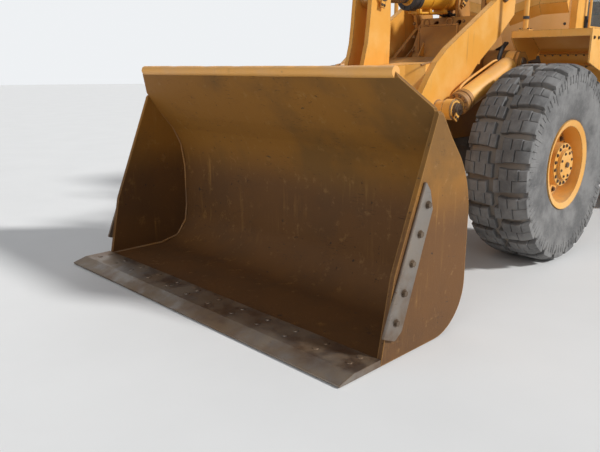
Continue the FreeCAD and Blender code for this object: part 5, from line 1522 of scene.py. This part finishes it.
@dataclass
class FenderDress:
    """Bolted stiffeners under the front fenders, mud flaps, and the headlamps on their posts."""

    finishes: Finishes
    inner: float = 0.588
    outer: float = 1.270
    top: float = 1.872
    post: tuple[float, float] = (-0.260, 0.692)
    lamp: tuple[float, float] = (2.420, 2.600)
    strips: tuple[tuple[float, float], ...] = ((-0.790, 1.690), (-0.862, 1.592))

    def stiffeners(self) -> None:
        """Two folded strips across the fender's underside with rows of bolts, and the bolts on its top."""
        maker, bolts = Maker("front_fender_strips"), Maker("front_fender_bolts")
        low, high = self.inner + 0.020, self.outer - 0.012
        for x, z in self.strips:
            way = Vector((0.084, 0.0, 0.100)).normalized()
            out = Vector((way.z, 0.0, -way.x))
            top, end = Vector(at(x, low, z)) + way * 0.024, Vector(at(x, low, z)) - way * 0.024
            wide = Vector((0.0, high - low, 0.0))
            maker.plate([top, top + wide, end + wide, end], out * 0.010, 0.002)
            maker.plate([top, top + wide, top + wide - way * 0.008, top - way * 0.008], out * 0.040, 0.002)
            for index in range(9):
                spot = Vector(at(x, low + 0.040 + index * (high - low - 0.080) / 8.0, z)) - way * 0.010 + out * 0.010
                bolts.bolt(spot, out, 0.009)
        for index in range(8):
            y = self.inner + 0.055 + index * (self.outer - self.inner - 0.110) / 7.0
            bolts.bolt(at(-0.42, y, self.top + 0.001), (0, 0, 1), 0.009)
        for x in (-0.27, -0.36, -0.45):
            bolts.bolt(at(x, self.outer + 0.007, 1.800), (0, 1, 0), 0.010)
        for x in (-0.285, -0.237):
            for y in (-0.036, 0.036):
                bolts.bolt(at(x, self.post[1] + y, 1.885), (0, 0, 1), 0.008)
        for piece, finish, slot in ((maker, "PaintRubbed", Slot.PAINT), (bolts, "PinSteel", Slot.WORN)):
            piece.mirrored()
            piece.finish("front_body", self.finishes[finish], slot)

    def flaps(self) -> None:
        """Rubber flaps behind the front tyres."""
        maker, bars = Maker("front_mud_flaps"), Maker("front_flap_bars")
        maker.box(at(-0.972, self.inner + 0.030, 1.010), at(-0.960, self.outer - 0.020, 1.380), 0.002)
        bars.box(at(-0.978, self.inner + 0.020, 1.330), at(-0.972, self.outer - 0.010, 1.372), 0.001)
        for index in range(6):
            bars.bolt(at(-0.978, self.inner + 0.060 + index * 0.110, 1.351), (-1, 0, 0), 0.009)
        for piece, finish, slot in ((maker, "HoseRubber", Slot.PLASTIC), (bars, "DarkSteel", Slot.DARK)):
            piece.mirrored()
            piece.finish("front_body", self.finishes[finish], slot)

    def headlamps(self) -> None:
        """Bezels, lenses, wire guards, turn signals, brackets and leads of the headlamps."""
        x0, (low, high) = self.post[0], self.lamp
        middle = (low + high) / 2.0
        y = self.post[1]
        bezel, lens, amber = Maker("headlamp_bezels"), Maker("headlamp_lenses"), Maker("headlamp_signals")
        back = Maker("headlamp_brackets")
        bezel.ring([(0.066, 0.0), (0.078, 0.0), (0.081, 0.006), (0.081, 0.022), (0.074, 0.026), (0.066, 0.020)], at(x0 + 0.100, y, middle), "X", 44)
        lens.ring([(0.0, 0.0), (0.066, 0.0), (0.066, 0.006), (0.050, 0.012), (0.026, 0.016), (0.0, 0.017)], at(x0 + 0.106, y, middle), "X", 44)
        amber.box(at(x0 - 0.020, y + 0.113, low + 0.030), at(x0 + 0.080, y + 0.126, high - 0.030), 0.005, 3)
        amber.box(at(x0 + 0.101, y + 0.084, low + 0.030), at(x0 + 0.108, y + 0.108, high - 0.030), 0.003)
        for z in (middle - 0.036, middle, middle + 0.036):
            bezel.rod(at(x0 + 0.136, y - 0.086, z), at(x0 + 0.136, y + 0.086, z), 0.003, 10)
        for side in (-0.086, 0.086):
            bezel.rod(at(x0 + 0.096, y + side, middle - 0.036), at(x0 + 0.136, y + side, middle - 0.036), 0.003, 10)
            bezel.rod(at(x0 + 0.096, y + side, middle + 0.036), at(x0 + 0.136, y + side, middle + 0.036), 0.003, 10)
            bezel.rod(at(x0 + 0.136, y + side, middle - 0.036), at(x0 + 0.136, y + side, middle + 0.036), 0.003, 10)
        back.box(at(x0 - 0.028, y - 0.030, low - 0.012), at(x0 + 0.028, y + 0.030, low + 0.002), 0.003)
        back.bolt(at(x0 - 0.030, y, middle), (-1, 0, 0), 0.012)
        for z in (1.98, 2.30):
            back.ring([(0.0212, -0.012), (0.027, -0.012), (0.027, 0.012), (0.0212, 0.012)], at(x0, y, z), "Z", 24)
        for piece, finish, slot in (
            (bezel, "LampShell", Slot.PLASTIC), (lens, "LensClear", Slot.LAMP), (amber, "LensAmber", Slot.LAMP),
            (back, "DarkSteel", Slot.DARK),
        ):
            piece.mirrored()
            piece.finish("front_body", self.finishes[finish], slot)
        runs = []
        for side in (1.0, -1.0):
            runs.append([
                at(x0 - 0.026, side * y, low + 0.03), at(x0 - 0.036, side * y, low - 0.05), at(x0 - 0.026, side * y, 2.30),
                at(x0 - 0.026, side * y, 1.98), at(x0 - 0.030, side * y, 1.90), at(x0 - 0.060, side * (y - 0.02), 1.876),
            ])
        hose("headlamp_leads", runs, 0.005, "front_body", self.finishes["HoseRubber"])

    def build(self) -> None:
        """Builds the pieces."""
        self.stiffeners()
        self.flaps()
        self.headlamps()


@dataclass
class CabDress:
    """Seals, wipers, mirrors, lamps and door parts of the cab, and what is inside it."""

    finishes: Finishes
    front: float = -1.130
    rear: float = -2.560
    half: float = 0.760
    floor: float = 1.680
    sill: float = 2.080
    head: float = 3.170
    door: tuple[float, float] = (-2.010, -1.290)
    window_top: float = 3.110

    def frame_of(self, maker: Maker, corners: list[Vector], size: float) -> None:
        """Adds a seal round a window.

        Args:
            maker: The piece.
            corners: The window's corners in turn.
            size: Radius of the seal.
        """
        for a, b in zip(corners, corners[1:] + corners[:1]):
            maker.rod(a, b, size, 10)

    def seals(self) -> None:
        """Rubber seals round the fixed panes, and round the door's pane on the door."""
        maker = Maker("cab_window_seals")
        side = self.half - 0.024
        edge = self.half - 0.095
        slope = 0.090 / (self.head - self.sill)
        front_low, front_high = self.front - 0.012, self.front - 0.012 - slope * (self.window_top - self.sill)
        self.frame_of(maker, [Vector(at(front_low, -edge, self.sill)), Vector(at(front_low, edge, self.sill)), Vector(at(front_high, edge, self.window_top)), Vector(at(front_high, -edge, self.window_top))], 0.011)
        rear_low, rear_high = self.rear + 0.016, self.rear + 0.070
        self.frame_of(maker, [Vector(at(rear_low, -edge, self.sill + 0.06)), Vector(at(rear_low, edge, self.sill + 0.06)), Vector(at(rear_high, edge, self.window_top)), Vector(at(rear_high, -edge, self.window_top))], 0.011)
        for sign in (1.0, -1.0):
            x0, x1 = self.rear + 0.150, self.door[0] - 0.075
            self.frame_of(maker, [Vector(at(x0, sign * side, self.sill)), Vector(at(x1, sign * side, self.sill)), Vector(at(x1, sign * side, self.window_top)), Vector(at(x0, sign * side, self.window_top))], 0.010)
        x0, x1 = self.door
        self.frame_of(maker, [Vector(at(x0, -side, self.sill)), Vector(at(x1, -side, self.sill)), Vector(at(x1, -side, self.window_top)), Vector(at(x0, -side, self.window_top))], 0.010)
        maker.finish("rear_body", self.finishes["HoseRubber"], Slot.PLASTIC, 50.0)
        maker = Maker("cab_door_seal")
        x0, x1 = self.door[0] + 0.080, self.door[1] - 0.080
        low, high = self.sill - 0.120, 3.034
        y = self.half - 0.012
        self.frame_of(maker, [Vector(at(x0, y, low)), Vector(at(x1, y, low)), Vector(at(x1, y, high)), Vector(at(x0, y, high))], 0.010)
        maker.finish("door", self.finishes["HoseRubber"], Slot.PLASTIC, 50.0)

    def apron(self) -> None:
        """The sheet below the windscreen, with its folded ledge and bolts."""
        sheet, ledge, screws = Maker("cab_front_apron"), Maker("cab_front_ledge"), Maker("cab_front_screws")
        low, high, x = self.floor + 0.030, self.sill + 0.220, self.front
        sheet.box(at(x - 0.040, -0.700, low), at(x + 0.016, 0.700, high), 0.004, 2)
        for sign in (1.0, -1.0):
            section = ((0.010, 0.0), (0.080, 0.105), (0.040, 0.200), (0.010, 0.200))
            lower = [(0.10, 1.965), (0.42, 2.055), (0.690, 2.060)]
            for ends in zip(lower, lower[1:]):
                corners = [ledge.bm.verts.new(at(x + out, sign * y, z + rise)) for y, z in ends for out, rise in section]
                bmesh.ops.convex_hull(ledge.bm, input=corners)
            for z in (low + 0.05, low + 0.26):
                screws.bolt(at(x + 0.016, sign * 0.66, z), (1, 0, 0), 0.010)
        # the sheet's paler paint is painted light, for the sunlit panel below the windscreen
        sheet.finish("rear_body", self.finishes["PaintLitPale"], Slot.PAINT)
        ledge.finish("rear_body", self.finishes["PaintYellow"], Slot.PAINT)
        screws.finish("rear_body", self.finishes["DarkSteel"], Slot.DARK)

    def wipers(self) -> None:
        """Front and rear wipers: motor cap, arm, blade and rubber."""
        maker = Maker("cab_wipers")
        slope = 0.090 / (self.head - self.sill)
        for sign, base_x, lean in ((1.0, self.front + 0.004, -slope), (-1.0, self.rear - 0.004, 0.050)):
            foot = Vector(at(base_x + 0.018 * (sign > 0), -0.05, self.sill + (0.015 if sign < 0 else 0.190)))
            maker.rod(foot - Vector((sign * 0.012, 0, 0)), foot + Vector((sign * 0.022, 0, 0)), 0.022, 20, 0.018, 0.003)
            top = Vector(at(base_x + sign * 0.012 + lean * 0.55, 0.20, self.sill + (0.52 if sign < 0 else 0.62)))
            maker.rod(foot + Vector((sign * 0.018, 0, 0)), top, 0.007, 8, 0.005)
            reach = Vector((lean * 0.34, 0.05, 0.34))
            maker.rod(top - reach, top + reach * 0.8, 0.006, 8)
            maker.rod(top - reach - Vector((sign * 0.008, 0, 0)), top + reach * 0.8 - Vector((sign * 0.008, 0, 0)), 0.004, 6)
        maker.finish("rear_body", self.finishes["BlackPlastic"], Slot.PLASTIC)

    def mirrors(self) -> None:
        """Mirrors on bent arms at the cab's front corners."""
        shell, glass = Maker("cab_mirrors"), Maker("cab_mirror_glass")
        shell.box(at(-1.245, 0.905, 2.560), at(-1.205, 1.085, 2.900), 0.016, 3)
        glass.box(at(-1.2485, 0.918, 2.575), at(-1.2445, 1.072, 2.885), 0.001)
        for piece, finish, slot in ((shell, "BlackPlastic", Slot.PLASTIC), (glass, "Reflector", Slot.LAMP)):
            piece.mirrored()
            piece.finish("rear_body", self.finishes[finish], slot)
        runs = []
        for side in (1.0, -1.0):
            runs.append([at(-1.190, side * 0.758, 3.02), at(-1.170, side * 0.82, 3.02), at(-1.190, side * 0.98, 3.00), at(-1.214, side * 0.995, 2.97), at(-1.214, side * 0.995, 2.88)])
            runs.append([at(-1.160, side * 0.758, 2.46), at(-1.150, side * 0.84, 2.46), at(-1.190, side * 0.98, 2.47), at(-1.214, side * 0.995, 2.50), at(-1.214, side * 0.995, 2.58)])
        hose("cab_mirror_arms", runs, 0.011, "rear_body", self.finishes["DarkSteel"])

    def lamps(self) -> None:
        """Work lamps under the roof's front edge and above its rear edge."""
        shell, lens = Maker("roof_lamps"), Maker("roof_lamp_lenses")
        for x, way, z in ((-1.085, 1.0, 3.215), (-2.607, -1.0, 3.230)):
            for y in (0.38, 0.64):
                shell.box(at(x - 0.034, y - 0.072, z - 0.048), at(x + 0.034, y + 0.072, z + 0.048), 0.012, 3)
                lens.box(at(x + way * 0.034, y - 0.060, z - 0.038), at(x + way * 0.040, y + 0.060, z + 0.038), 0.002)
        for piece, finish, slot in ((shell, "LampShell", Slot.PLASTIC), (lens, "LensClear", Slot.LAMP)):
            piece.mirrored()
            piece.finish("rear_body", self.finishes[finish], slot)

    def roof_trim(self) -> None:
        """A roof hatch and the drip rails over the door."""
        maker = Maker("cab_roof_trim")
        maker.box(at(-2.30, -0.42, 3.360 - 0.004), at(-1.50, 0.42, 3.3595), 0.0)
        for y in (0.802, -0.802):
            maker.box(at(-2.590, y - 0.002, 3.176), at(-1.100, y + 0.002, 3.196), 0.0015)
        maker.finish("rear_body", self.finishes["PaintPanel"], Slot.PAINT)

    def door_parts(self) -> None:
        """Door lock, key barrel and kick plate, on the door."""
        lock, plate = Maker("cab_door_lock"), Maker("cab_door_kick_plate")
        x = self.door[1] - 0.045
        lock.box(at(x - 0.034, 0.760, 1.905), at(x + 0.024, 0.778, 2.045), 0.006, 3)
        lock.rod(at(x - 0.005, 0.776, 2.000), at(x - 0.005, 0.786, 2.000), 0.013, 20, 0.011, 0.002)
        lock.finish("door", self.finishes["BlackPlastic"], Slot.PLASTIC)
        plate.box(at(self.door[0] + 0.060, 0.7605, 1.710), at(self.door[1] - 0.110, 0.7625, 1.900), 0.001)
        for px in (self.door[0] + 0.085, self.door[1] - 0.135):
            for pz in (1.730, 1.880):
                plate.bolt(at(px, 0.7625, pz), (0, 1, 0), 0.006)
        plate.finish("door", self.finishes["DarkSteel"], Slot.DARK)

    def inside(self) -> None:
        """Dash, levers, arm rest, pedals and mat."""
        dash = Maker("cab_dash")
        dash.box(at(-1.330, -0.300, 2.060), at(-1.200, 0.300, 2.240), 0.030, 4)
        dash.box(at(-1.290, -0.110, self.floor), at(-1.205, 0.110, 2.070), 0.020, 3)
        dash.box(at(-2.150, -0.600, self.floor), at(-1.760, -0.420, 2.160), 0.030, 4)
        dash.box(at(-2.100, -0.420, 2.135), at(-1.800, -0.320, 2.185), 0.020, 4)
        dash.finish("rear_body", self.finishes["BlackPlastic"], Slot.PLASTIC)
        levers = Maker("cab_levers")
        for x, y, lean in ((-1.800, -0.480, 0.02), (-1.860, -0.480, 0.0), (-1.920, -0.480, -0.02)):
            levers.rod(at(x, y, 2.150), at(x + lean, y, 2.290), 0.006, 10)
            levers.rod(at(x + lean, y, 2.280), at(x + lean * 1.3, y, 2.345), 0.017, 16, 0.020, 0.006)
        levers.rod(at(-1.500, 0.060, 2.330), at(-1.540, 0.190, 2.365), 0.007, 10, 0.010)
        for y in (-0.220, -0.110, 0.160):
            levers.box(at(-1.345, y - 0.045, self.floor + 0.060), at(-1.320, y + 0.045, self.floor + 0.190), 0.008)
            levers.rod(at(-1.300, y, self.floor), at(-1.330, y, self.floor + 0.110), 0.010, 10)
        levers.finish("rear_body", self.finishes["BlackPlastic"], Slot.PLASTIC)
        mat = Maker("cab_mat")
        mat.box(at(-2.440, -0.690, self.floor), at(-1.200, 0.690, self.floor + 0.008), 0.002)
        mat.finish("rear_body", self.finishes["HoseRubber"], Slot.PLASTIC)

    def build(self) -> None:
        """Builds the pieces."""
        self.seals()
        self.apron()
        self.wipers()
        self.mirrors()
        self.lamps()
        self.roof_trim()
        self.door_parts()
        self.inside()


@dataclass
class CushionDress:
    """The driver's seat: swollen cushions on their pedestal."""

    finishes: Finishes

    def cushion(self, name: str, low: Point, high: Point, crown: Point, cap: float) -> bpy.types.Object:
        """Makes one cushion by letting cloth swell from a slightly smaller block.

        Args:
            name: The piece's name.
            low: One corner of the space it fills.
            high: The opposite corner.
            crown: How far each side starts inside that space.
            cap: The most that a point may move.

        Returns:
            The object, not yet riding.
        """
        maker = Maker(name)
        start = [a + b for a, b in zip(low, crown)]
        end = [a - b for a, b in zip(high, crown)]
        maker.box(start, end, 0.030, 4)
        mesh = bpy.data.meshes.new(name)
        maker.bm.to_mesh(mesh)
        maker.bm.free()
        pad = bpy.data.objects.new(name, mesh)
        bpy.context.scene.collection.objects.link(pad)
        bpy.context.view_layer.objects.active = pad
        remesh = pad.modifiers.new("remesh", "REMESH")
        remesh.mode = "VOXEL"
        remesh.voxel_size = 0.008
        bpy.ops.object.modifier_apply(modifier=remesh.name)
        rest = [vertex.co.copy() for vertex in pad.data.vertices]
        cloth = pad.modifiers.new("cloth", "CLOTH")
        cloth.settings.use_pressure = True
        cloth.settings.uniform_pressure_force = 4.0
        cloth.settings.effector_weights.gravity = 0.0
        cloth.point_cache.frame_start = 1
        cloth.point_cache.frame_end = 20
        for frame_number in range(1, 21):
            bpy.context.scene.frame_set(frame_number)
        swollen = pad.evaluated_get(bpy.context.evaluated_depsgraph_get()).to_mesh()
        moved = [vertex.co.copy() for vertex in swollen.vertices]
        pad.modifiers.remove(cloth)
        bpy.context.scene.frame_set(1)
        for vertex, was, now in zip(pad.data.vertices, rest, moved):
            shift = now - was
            vertex.co = was + (shift * (cap / shift.length) if shift.length > cap else shift)
        bm = bmesh.new()
        bm.from_mesh(pad.data)
        for _ in range(2):
            bmesh.ops.smooth_vert(bm, verts=bm.verts[:], factor=0.5, use_axis_x=True, use_axis_y=True, use_axis_z=True)
        bm.to_mesh(pad.data)
        bm.free()
        return pad

    def channels(self, pad: bpy.types.Object, across: int, thin: int, lines: list[float], depth: float) -> None:
        """Presses sewn channels into a cushion.

        Args:
            pad: The cushion.
            across: Axis along which the channels are spaced.
            thin: Axis that the channels are pressed along.
            lines: Place of each channel.
            depth: How deep a channel is.
        """
        points = [vertex.co for vertex in pad.data.vertices]
        middle = (min(point[thin] for point in points) + max(point[thin] for point in points)) / 2.0
        for vertex in pad.data.vertices:
            near = min(abs(vertex.co[across] - line) for line in lines)
            if near < 0.022:
                push = depth * (0.5 + 0.5 * math.cos(math.pi * near / 0.022))
                vertex.co[thin] -= math.copysign(push, vertex.co[thin] - middle)

    def build(self) -> None:
        """Builds the cushions and what carries them."""
        seat = self.cushion("driver_cushion", at(-2.285, -0.252, 2.080), at(-1.815, 0.252, 2.204), (0.018, 0.018, 0.014), 0.024)
        self.channels(seat, 1, 2, [-0.150, -0.050, 0.050, 0.150], 0.010)
        back = self.cushion("driver_backrest", at(-2.366, -0.242, 2.155), at(-2.244, 0.242, 2.800), (0.014, 0.016, 0.018), 0.024)
        self.channels(back, 2, 0, [2.32, 2.46, 2.60], 0.009)
        for pad in (seat, back):
            pad.data.materials.clear()
            pad.data.materials.append(self.finishes["CushionCloth"])
            pad.data.shade_smooth()
            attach(pad, "rear_body")
        base = Maker("driver_pedestal")
        base.box(at(-2.220, -0.180, 1.680), at(-1.900, 0.180, 1.730), 0.012, 2)
        for index in range(6):
            low = 1.730 + index * 0.050
            base.box(at(-2.200 + 0.012 * (index % 2), -0.165, low), at(-1.920 - 0.012 * (index % 2), 0.165, low + 0.052), 0.012, 2)
        base.box(at(-2.240, -0.200, 2.028), at(-1.860, 0.200, 2.082), 0.010, 2)
        base.box(at(-2.290, -0.050, 2.050), at(-2.262, 0.050, 2.400), 0.008, 2)
        made = base.finish("rear_body", self.finishes["BlackPlastic"], Slot.PLASTIC)
        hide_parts("seat")


@dataclass
class HoodDress:
    """Louvres, handles, exhaust, grille, reflectors and steps of the rear body."""

    finishes: Finishes
    half: float = 0.700
    cover: tuple[float, float, float, float] = (-4.250, -3.050, 1.800, 2.150)

    def louvres(self) -> None:
        """Lips over the covers' slots, with a handle and two latches on each cover."""
        x0, x1, low, high = self.cover
        for side, body in ((1.0, "cover_left"), (-1.0, "cover_right")):
            maker, latch = Maker(f"{body}_trim"), Maker(f"{body}_latches")
            face = side * (self.half + 0.002)
            for index in range(5):
                z = low + 0.070 + index * 0.055
                maker.plate(
                    [at(x0 + 0.14, face, z), at(x1 - 0.14, face, z), at(x1 - 0.14, face + side * 0.012, z - 0.016), at(x0 + 0.14, face + side * 0.012, z - 0.016)],
                    (0.0, 0.0, 0.004),
                )
            for x in (x0 + 0.18, x1 - 0.18):
                latch.box(at(x - 0.034, face - side * 0.001, low + 0.014), at(x + 0.034, face + side * 0.008, low + 0.052), 0.004, 2)
                latch.rod(at(x, face + side * 0.006, low + 0.033), at(x, face + side * 0.014, low + 0.033), 0.013, 20, 0.011, 0.002)
            latch.rod(at(-3.72, face + side * 0.026, low + 0.030), at(-3.58, face + side * 0.026, low + 0.030), 0.008, 14, None, 0.003)
            for x in (-3.715, -3.585):
                latch.rod(at(x, face - side * 0.001, low + 0.030), at(x, face + side * 0.026, low + 0.030), 0.007, 12)
            maker.finish(body, self.finishes["PaintPanel"], Slot.PAINT)
            latch.finish(body, self.finishes["BlackPlastic"], Slot.PLASTIC)

    def hood_trim(self) -> None:
        """Hood seams, cover hinges, blank plates and reflectors."""
        seams, hinges, plates, marks = Maker("hood_ridges"), Maker("hood_hinges"), Maker("hood_plates"), Maker("hood_reflectors")
        for x in (-2.98, -4.30):
            seams.box(at(x - 0.012, -self.half + 0.06, 2.2405), at(x + 0.012, self.half - 0.06, 2.2445 if x < -4 else 2.304), 0.0)
        for sign in (1.0, -1.0):
            face = sign * self.half
            for x in (-4.05, -3.25):
                hinges.rod(at(x - 0.060, face + sign * 0.010, 2.168), at(x + 0.060, face + sign * 0.010, 2.168), 0.010, 16, None, 0.002)
                hinges.box(at(x - 0.055, face, 2.172), at(x + 0.055, face + sign * 0.005, 2.214), 0.001)
            plates.box(at(-4.66, face, 1.80), at(-4.40, face + sign * 0.003, 1.90), 0.001)
            for px in (-4.65, -4.41):
                for pz in (1.81, 1.89):
                    plates.rod(at(px, face, pz), at(px, face + sign * 0.005, pz), 0.004, 10)
            marks.box(at(-4.66, face, 1.42), at(-4.56, face + sign * 0.006, 1.47), 0.002)
        seams.finish("rear_body", self.finishes["PaintPanel"], Slot.PAINT)
        hinges.finish("rear_body", self.finishes["DarkSteel"], Slot.DARK)
        plates.finish("rear_body", self.finishes["PlateWhite"], Slot.PAINT)
        marks.finish("rear_body", self.finishes["LensAmber"], Slot.LAMP)

    def stacks(self) -> None:
        """The exhaust's guard and clamps, and the intake's precleaner with its vanes."""
        guard, clean = Maker("exhaust_guard"), Maker("intake_precleaner")
        centre = at(-3.300, 0.300, 0.0)
        for index in range(14):
            turn = math.tau * index / 14
            x, y = centre[0] + 0.078 * math.cos(turn), centre[1] + 0.078 * math.sin(turn)
            guard.rod((x, y, 2.40), (x, y, 2.78), 0.004, 8)
        for z in (2.39, 2.52, 2.65, 2.78):
            guard.ring([(0.072, -0.010), (0.084, -0.010), (0.084, 0.010), (0.072, 0.010)], at(-3.300, 0.300, z), "Z", 40)
        for z in (2.31, 2.835):
            guard.ring([(0.0625, -0.014), (0.068, -0.014), (0.068, 0.014), (0.0625, 0.014)], at(-3.300, 0.300, z), "Z", 40)
        guard.finish("rear_body", self.finishes["SootSteel"], Slot.DARK)
        for index in range(18):
            turn = math.tau * index / 18
            a = Vector((math.cos(turn), math.sin(turn), 0.0))
            b = Vector((math.cos(turn + 0.10), math.sin(turn + 0.10), 0.0))
            middle = Vector(at(-3.300, -0.320, 0.0))
            clean.rod(middle + a * 0.131 + Vector((0, 0, 2.575)), middle + b * 0.131 + Vector((0, 0, 2.700)), 0.005, 6)
        clean.ring([(0.128, 0.0), (0.136, 0.0), (0.136, 0.012), (0.128, 0.012)], at(-3.300, -0.320, 2.560), "Z", 44)
        clean.ring([(0.128, 0.0), (0.136, 0.0), (0.136, 0.012), (0.128, 0.012)], at(-3.300, -0.320, 2.706), "Z", 44)
        clean.ring([(0.0, 0.0), (0.100, 0.0), (0.088, 0.016), (0.040, 0.026), (0.014, 0.028), (0.0, 0.028)], at(-3.300, -0.320, 2.719), "Z", 44)
        clean.ring([(0.0705, -0.012), (0.076, -0.012), (0.076, 0.012), (0.0705, 0.012)], at(-3.300, -0.320, 2.53), "Z", 36)
        clean.finish("rear_body", self.finishes["BlackPlastic"], Slot.PLASTIC)

    def rear(self) -> None:
        """Grille frame and screws, tow pin, reflectors and bolts of the counterweight."""
        frame, bolts, marks = Maker("grille_border"), Maker("counterweight_bolts"), Maker("rear_reflectors")
        x = -4.800
        low, high, half = 1.514, 2.078, 0.56
        for a, b in (((-half, low), (half, low)), ((half, low), (half, high)), ((half, high), (-half, high)), ((-half, high), (-half, low))):
            frame.rod(at(x - 0.004, *a), at(x - 0.004, *b), 0.010, 10)
        for sign in (1.0, -1.0):
            for index in range(4):
                bolts.bolt(at(x, sign * (half + 0.03), low + 0.05 + index * 0.155), (-1, 0, 0), 0.009)
            for z in (0.95, 1.30):
                bolts.bolt(at(-5.150, sign * 0.52, z), (-1, 0, 0), 0.030)
            for index in range(3):
                bolts.bolt(at(-4.80 + index * 0.06, sign * 0.40, 1.482), (0, 0, 1), 0.012)
            marks.box(at(-5.154, sign * 0.93, 1.34), at(-5.148, sign * 1.05, 1.42), 0.002)
            marks.box(at(-4.72, sign * 1.117, 1.18), at(-4.62, sign * 1.124, 1.24), 0.002)
        bolts.rod(at(-5.10, 0.0, 0.98), at(-5.10, 0.0, 1.34), 0.026, 22, None, 0.004)
        bolts.rod(at(-5.10, 0.0, 1.335), at(-5.10, 0.0, 1.350), 0.040, 22, None, 0.004)
        frame.finish("rear_body", self.finishes["DarkSteel"], Slot.DARK)
        bolts.finish("rear_body", self.finishes["PinSteel"], Slot.WORN)
        marks.finish("rear_body", self.finishes["LensRed"], Slot.LAMP)

    def steps(self) -> None:
        """Ribbed treads in the tanks' step pockets and on the decks, with the tanks' caps and drains."""
        tread, caps = Maker("step_treads"), Maker("tank_caps")
        for z in (0.860, 1.160):
            for index in range(6):
                x = -2.300 + index * 0.056
                tread.box(at(x, 1.010, z), at(x + 0.030, 1.174, z + 0.006), 0.0015)
        for index in range(22):
            y = 0.800 + index * 0.016
            tread.box(at(-2.350, y, 1.600), at(-1.990, y + 0.008, 1.604), 0.0)
        caps.rod(at(-2.05, 0.700, 1.498), at(-2.05, 0.700, 1.532), 0.050, 28, 0.044, 0.006)
        caps.rod(at(-2.16, 0.870, 0.762), at(-2.16, 0.870, 0.744), 0.020, 6)
        for piece, finish, slot in ((tread, "DarkSteel", Slot.DARK), (caps, "BlackPlastic", Slot.PLASTIC)):
            piece.mirrored()
            piece.finish("rear_body", self.finishes[finish], slot)

    def build(self) -> None:
        """Builds the pieces."""
        self.louvres()
        self.hood_trim()
        self.stacks()
        self.rear()
        self.steps()


@dataclass
class FrameDress:
    """Hinge pin caps, steering pins, driveshaft and hoses between the two frames."""

    finishes: Finishes
    pivot: float = -1.600

    def hinge(self) -> None:
        """Bolted caps on the articulation pins, and the steering cylinders' pins."""
        caps, pins = Maker("hinge_pin_caps"), Maker("steering_pins")
        for z, way in ((1.252, 1.0), (0.588, -1.0)):
            caps.rod(at(self.pivot, 0.0, z - way * 0.004), at(self.pivot, 0.0, z + way * 0.012), 0.066, 36, 0.062, 0.004)
            for index in range(6):
                turn = math.tau * index / 6
                caps.bolt(at(self.pivot + 0.046 * math.cos(turn), 0.046 * math.sin(turn), z + way * 0.012), (0, 0, way), 0.009)
        for sign in (1.0, -1.0):
            for way in (1.0, -1.0):
                pins.rod(at(-2.060, sign * 0.470, 0.890 + way * 0.052), at(-2.060, sign * 0.470, 0.890 + way * 0.064), 0.030, 24, None, 0.003)
        caps.finish("rear_body", self.finishes["PinSteel"], Slot.WORN)
        pins.finish("rear_body", self.finishes["PinSteel"], Slot.WORN)

    def driveline(self) -> None:
        """The driveshafts from the gearbox to both axles, with their joints, cut at the articulation."""
        rear, front = Maker("driveshaft_rear"), Maker("driveshaft_front")
        for maker, a, b in ((rear, (-2.95, 0.90), (-2.10, 0.88)), (front, (-1.20, 0.86), (-0.34, 0.82))):
            start, end = Vector(at(a[0], 0.0, a[1])), Vector(at(b[0], 0.0, b[1]))
            way = (end - start).normalized()
            maker.rod(start + way * 0.09, end - way * 0.09, 0.044, 28, None, 0.003)
            for point, sign in ((start, 1.0), (end, -1.0)):
                maker.rod(point, point + way * sign * 0.022, 0.072, 30, None, 0.004)
                maker.rod(point + way * sign * 0.022, point + way * sign * 0.095, 0.034, 20, 0.044, 0.003)
                maker.rod(point + way * sign * 0.050 - Vector((0, 0.062, 0)), point + way * sign * 0.050 + Vector((0, 0.062, 0)), 0.018, 18, None, 0.003)
                for index in range(4):
                    turn = math.tau * (index + 0.5) / 4
                    maker.bolt(point + Vector((0.0, 0.056 * math.cos(turn), 0.056 * math.sin(turn))) + way * sign * 0.022, way * sign, 0.008)
        rear.finish("rear_body", self.finishes["SootSteel"], Slot.DARK)
        front.finish("front_body", self.finishes["SootSteel"], Slot.DARK)

    def hoses(self) -> None:
        """Hoses of the steering cylinders, and lines along the rails."""
        runs = []
        for side in (1.0, -1.0):
            for lift, reach in ((0.03, 0.0), (0.0, 0.05)):
                runs.append([
                    at(-1.980 + reach * 3.0, side * 0.474, 0.950), at(-1.985 + reach * 3.0, side * 0.474, 1.010 + lift), at(-2.10, side * 0.42, 1.06 + lift),
                    at(-2.30, side * 0.396, 1.08 + lift), at(-2.60, side * 0.396, 1.09 + lift), at(-2.90, side * 0.396, 1.10 + lift),
                ])
        hose("steering_hoses", runs, 0.012, "rear_body", self.finishes["HoseRubber"])
        clips = Maker("hose_clips")
        for side in (1.0, -1.0):
            for x in (-2.45, -2.80):
                clips.box(at(x - 0.016, side * 0.379, 1.06), at(x + 0.016, side * 0.412, 1.150), 0.003)
        clips.finish("rear_body", self.finishes["DarkSteel"], Slot.DARK)

    def build(self) -> None:
        """Builds the pieces."""
        self.hinge()
        self.driveline()
        self.hoses()


def main() -> None:
    """Builds the machine's looks in order."""
    logging.basicConfig(level=logging.INFO, format="%(message)s")
    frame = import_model()
    bpy.context.scene.view_settings.view_transform = "Standard"
    Studio().build()
    finishes = Finishes()
    finishes.build()
    CarriedNodes(finishes, frame).build()
    for name, body, x, y in (
        ("front_left", "wheel_fl", 0.0, 1.05), ("front_right", "wheel_fr", 0.0, -1.05),
        ("rear_left", "wheel_rl", -3.2, 1.05), ("rear_right", "wheel_rr", -3.2, -1.05),
    ):
        Tyre(finishes, "tyre_" + name, body, at(x, y, 0.800)).build()
        Rim(finishes, name, body, at(x, y, 0.800), math.copysign(1.0, y)).build()
    BucketDress(finishes).build()
    LinkageDress(finishes).build()
    FenderDress(finishes).build()
    CabDress(finishes).build()
    CushionDress(finishes).build()
    HoodDress(finishes).build()
    FrameDress(finishes).build()


if __name__ == "__main__":
    main()
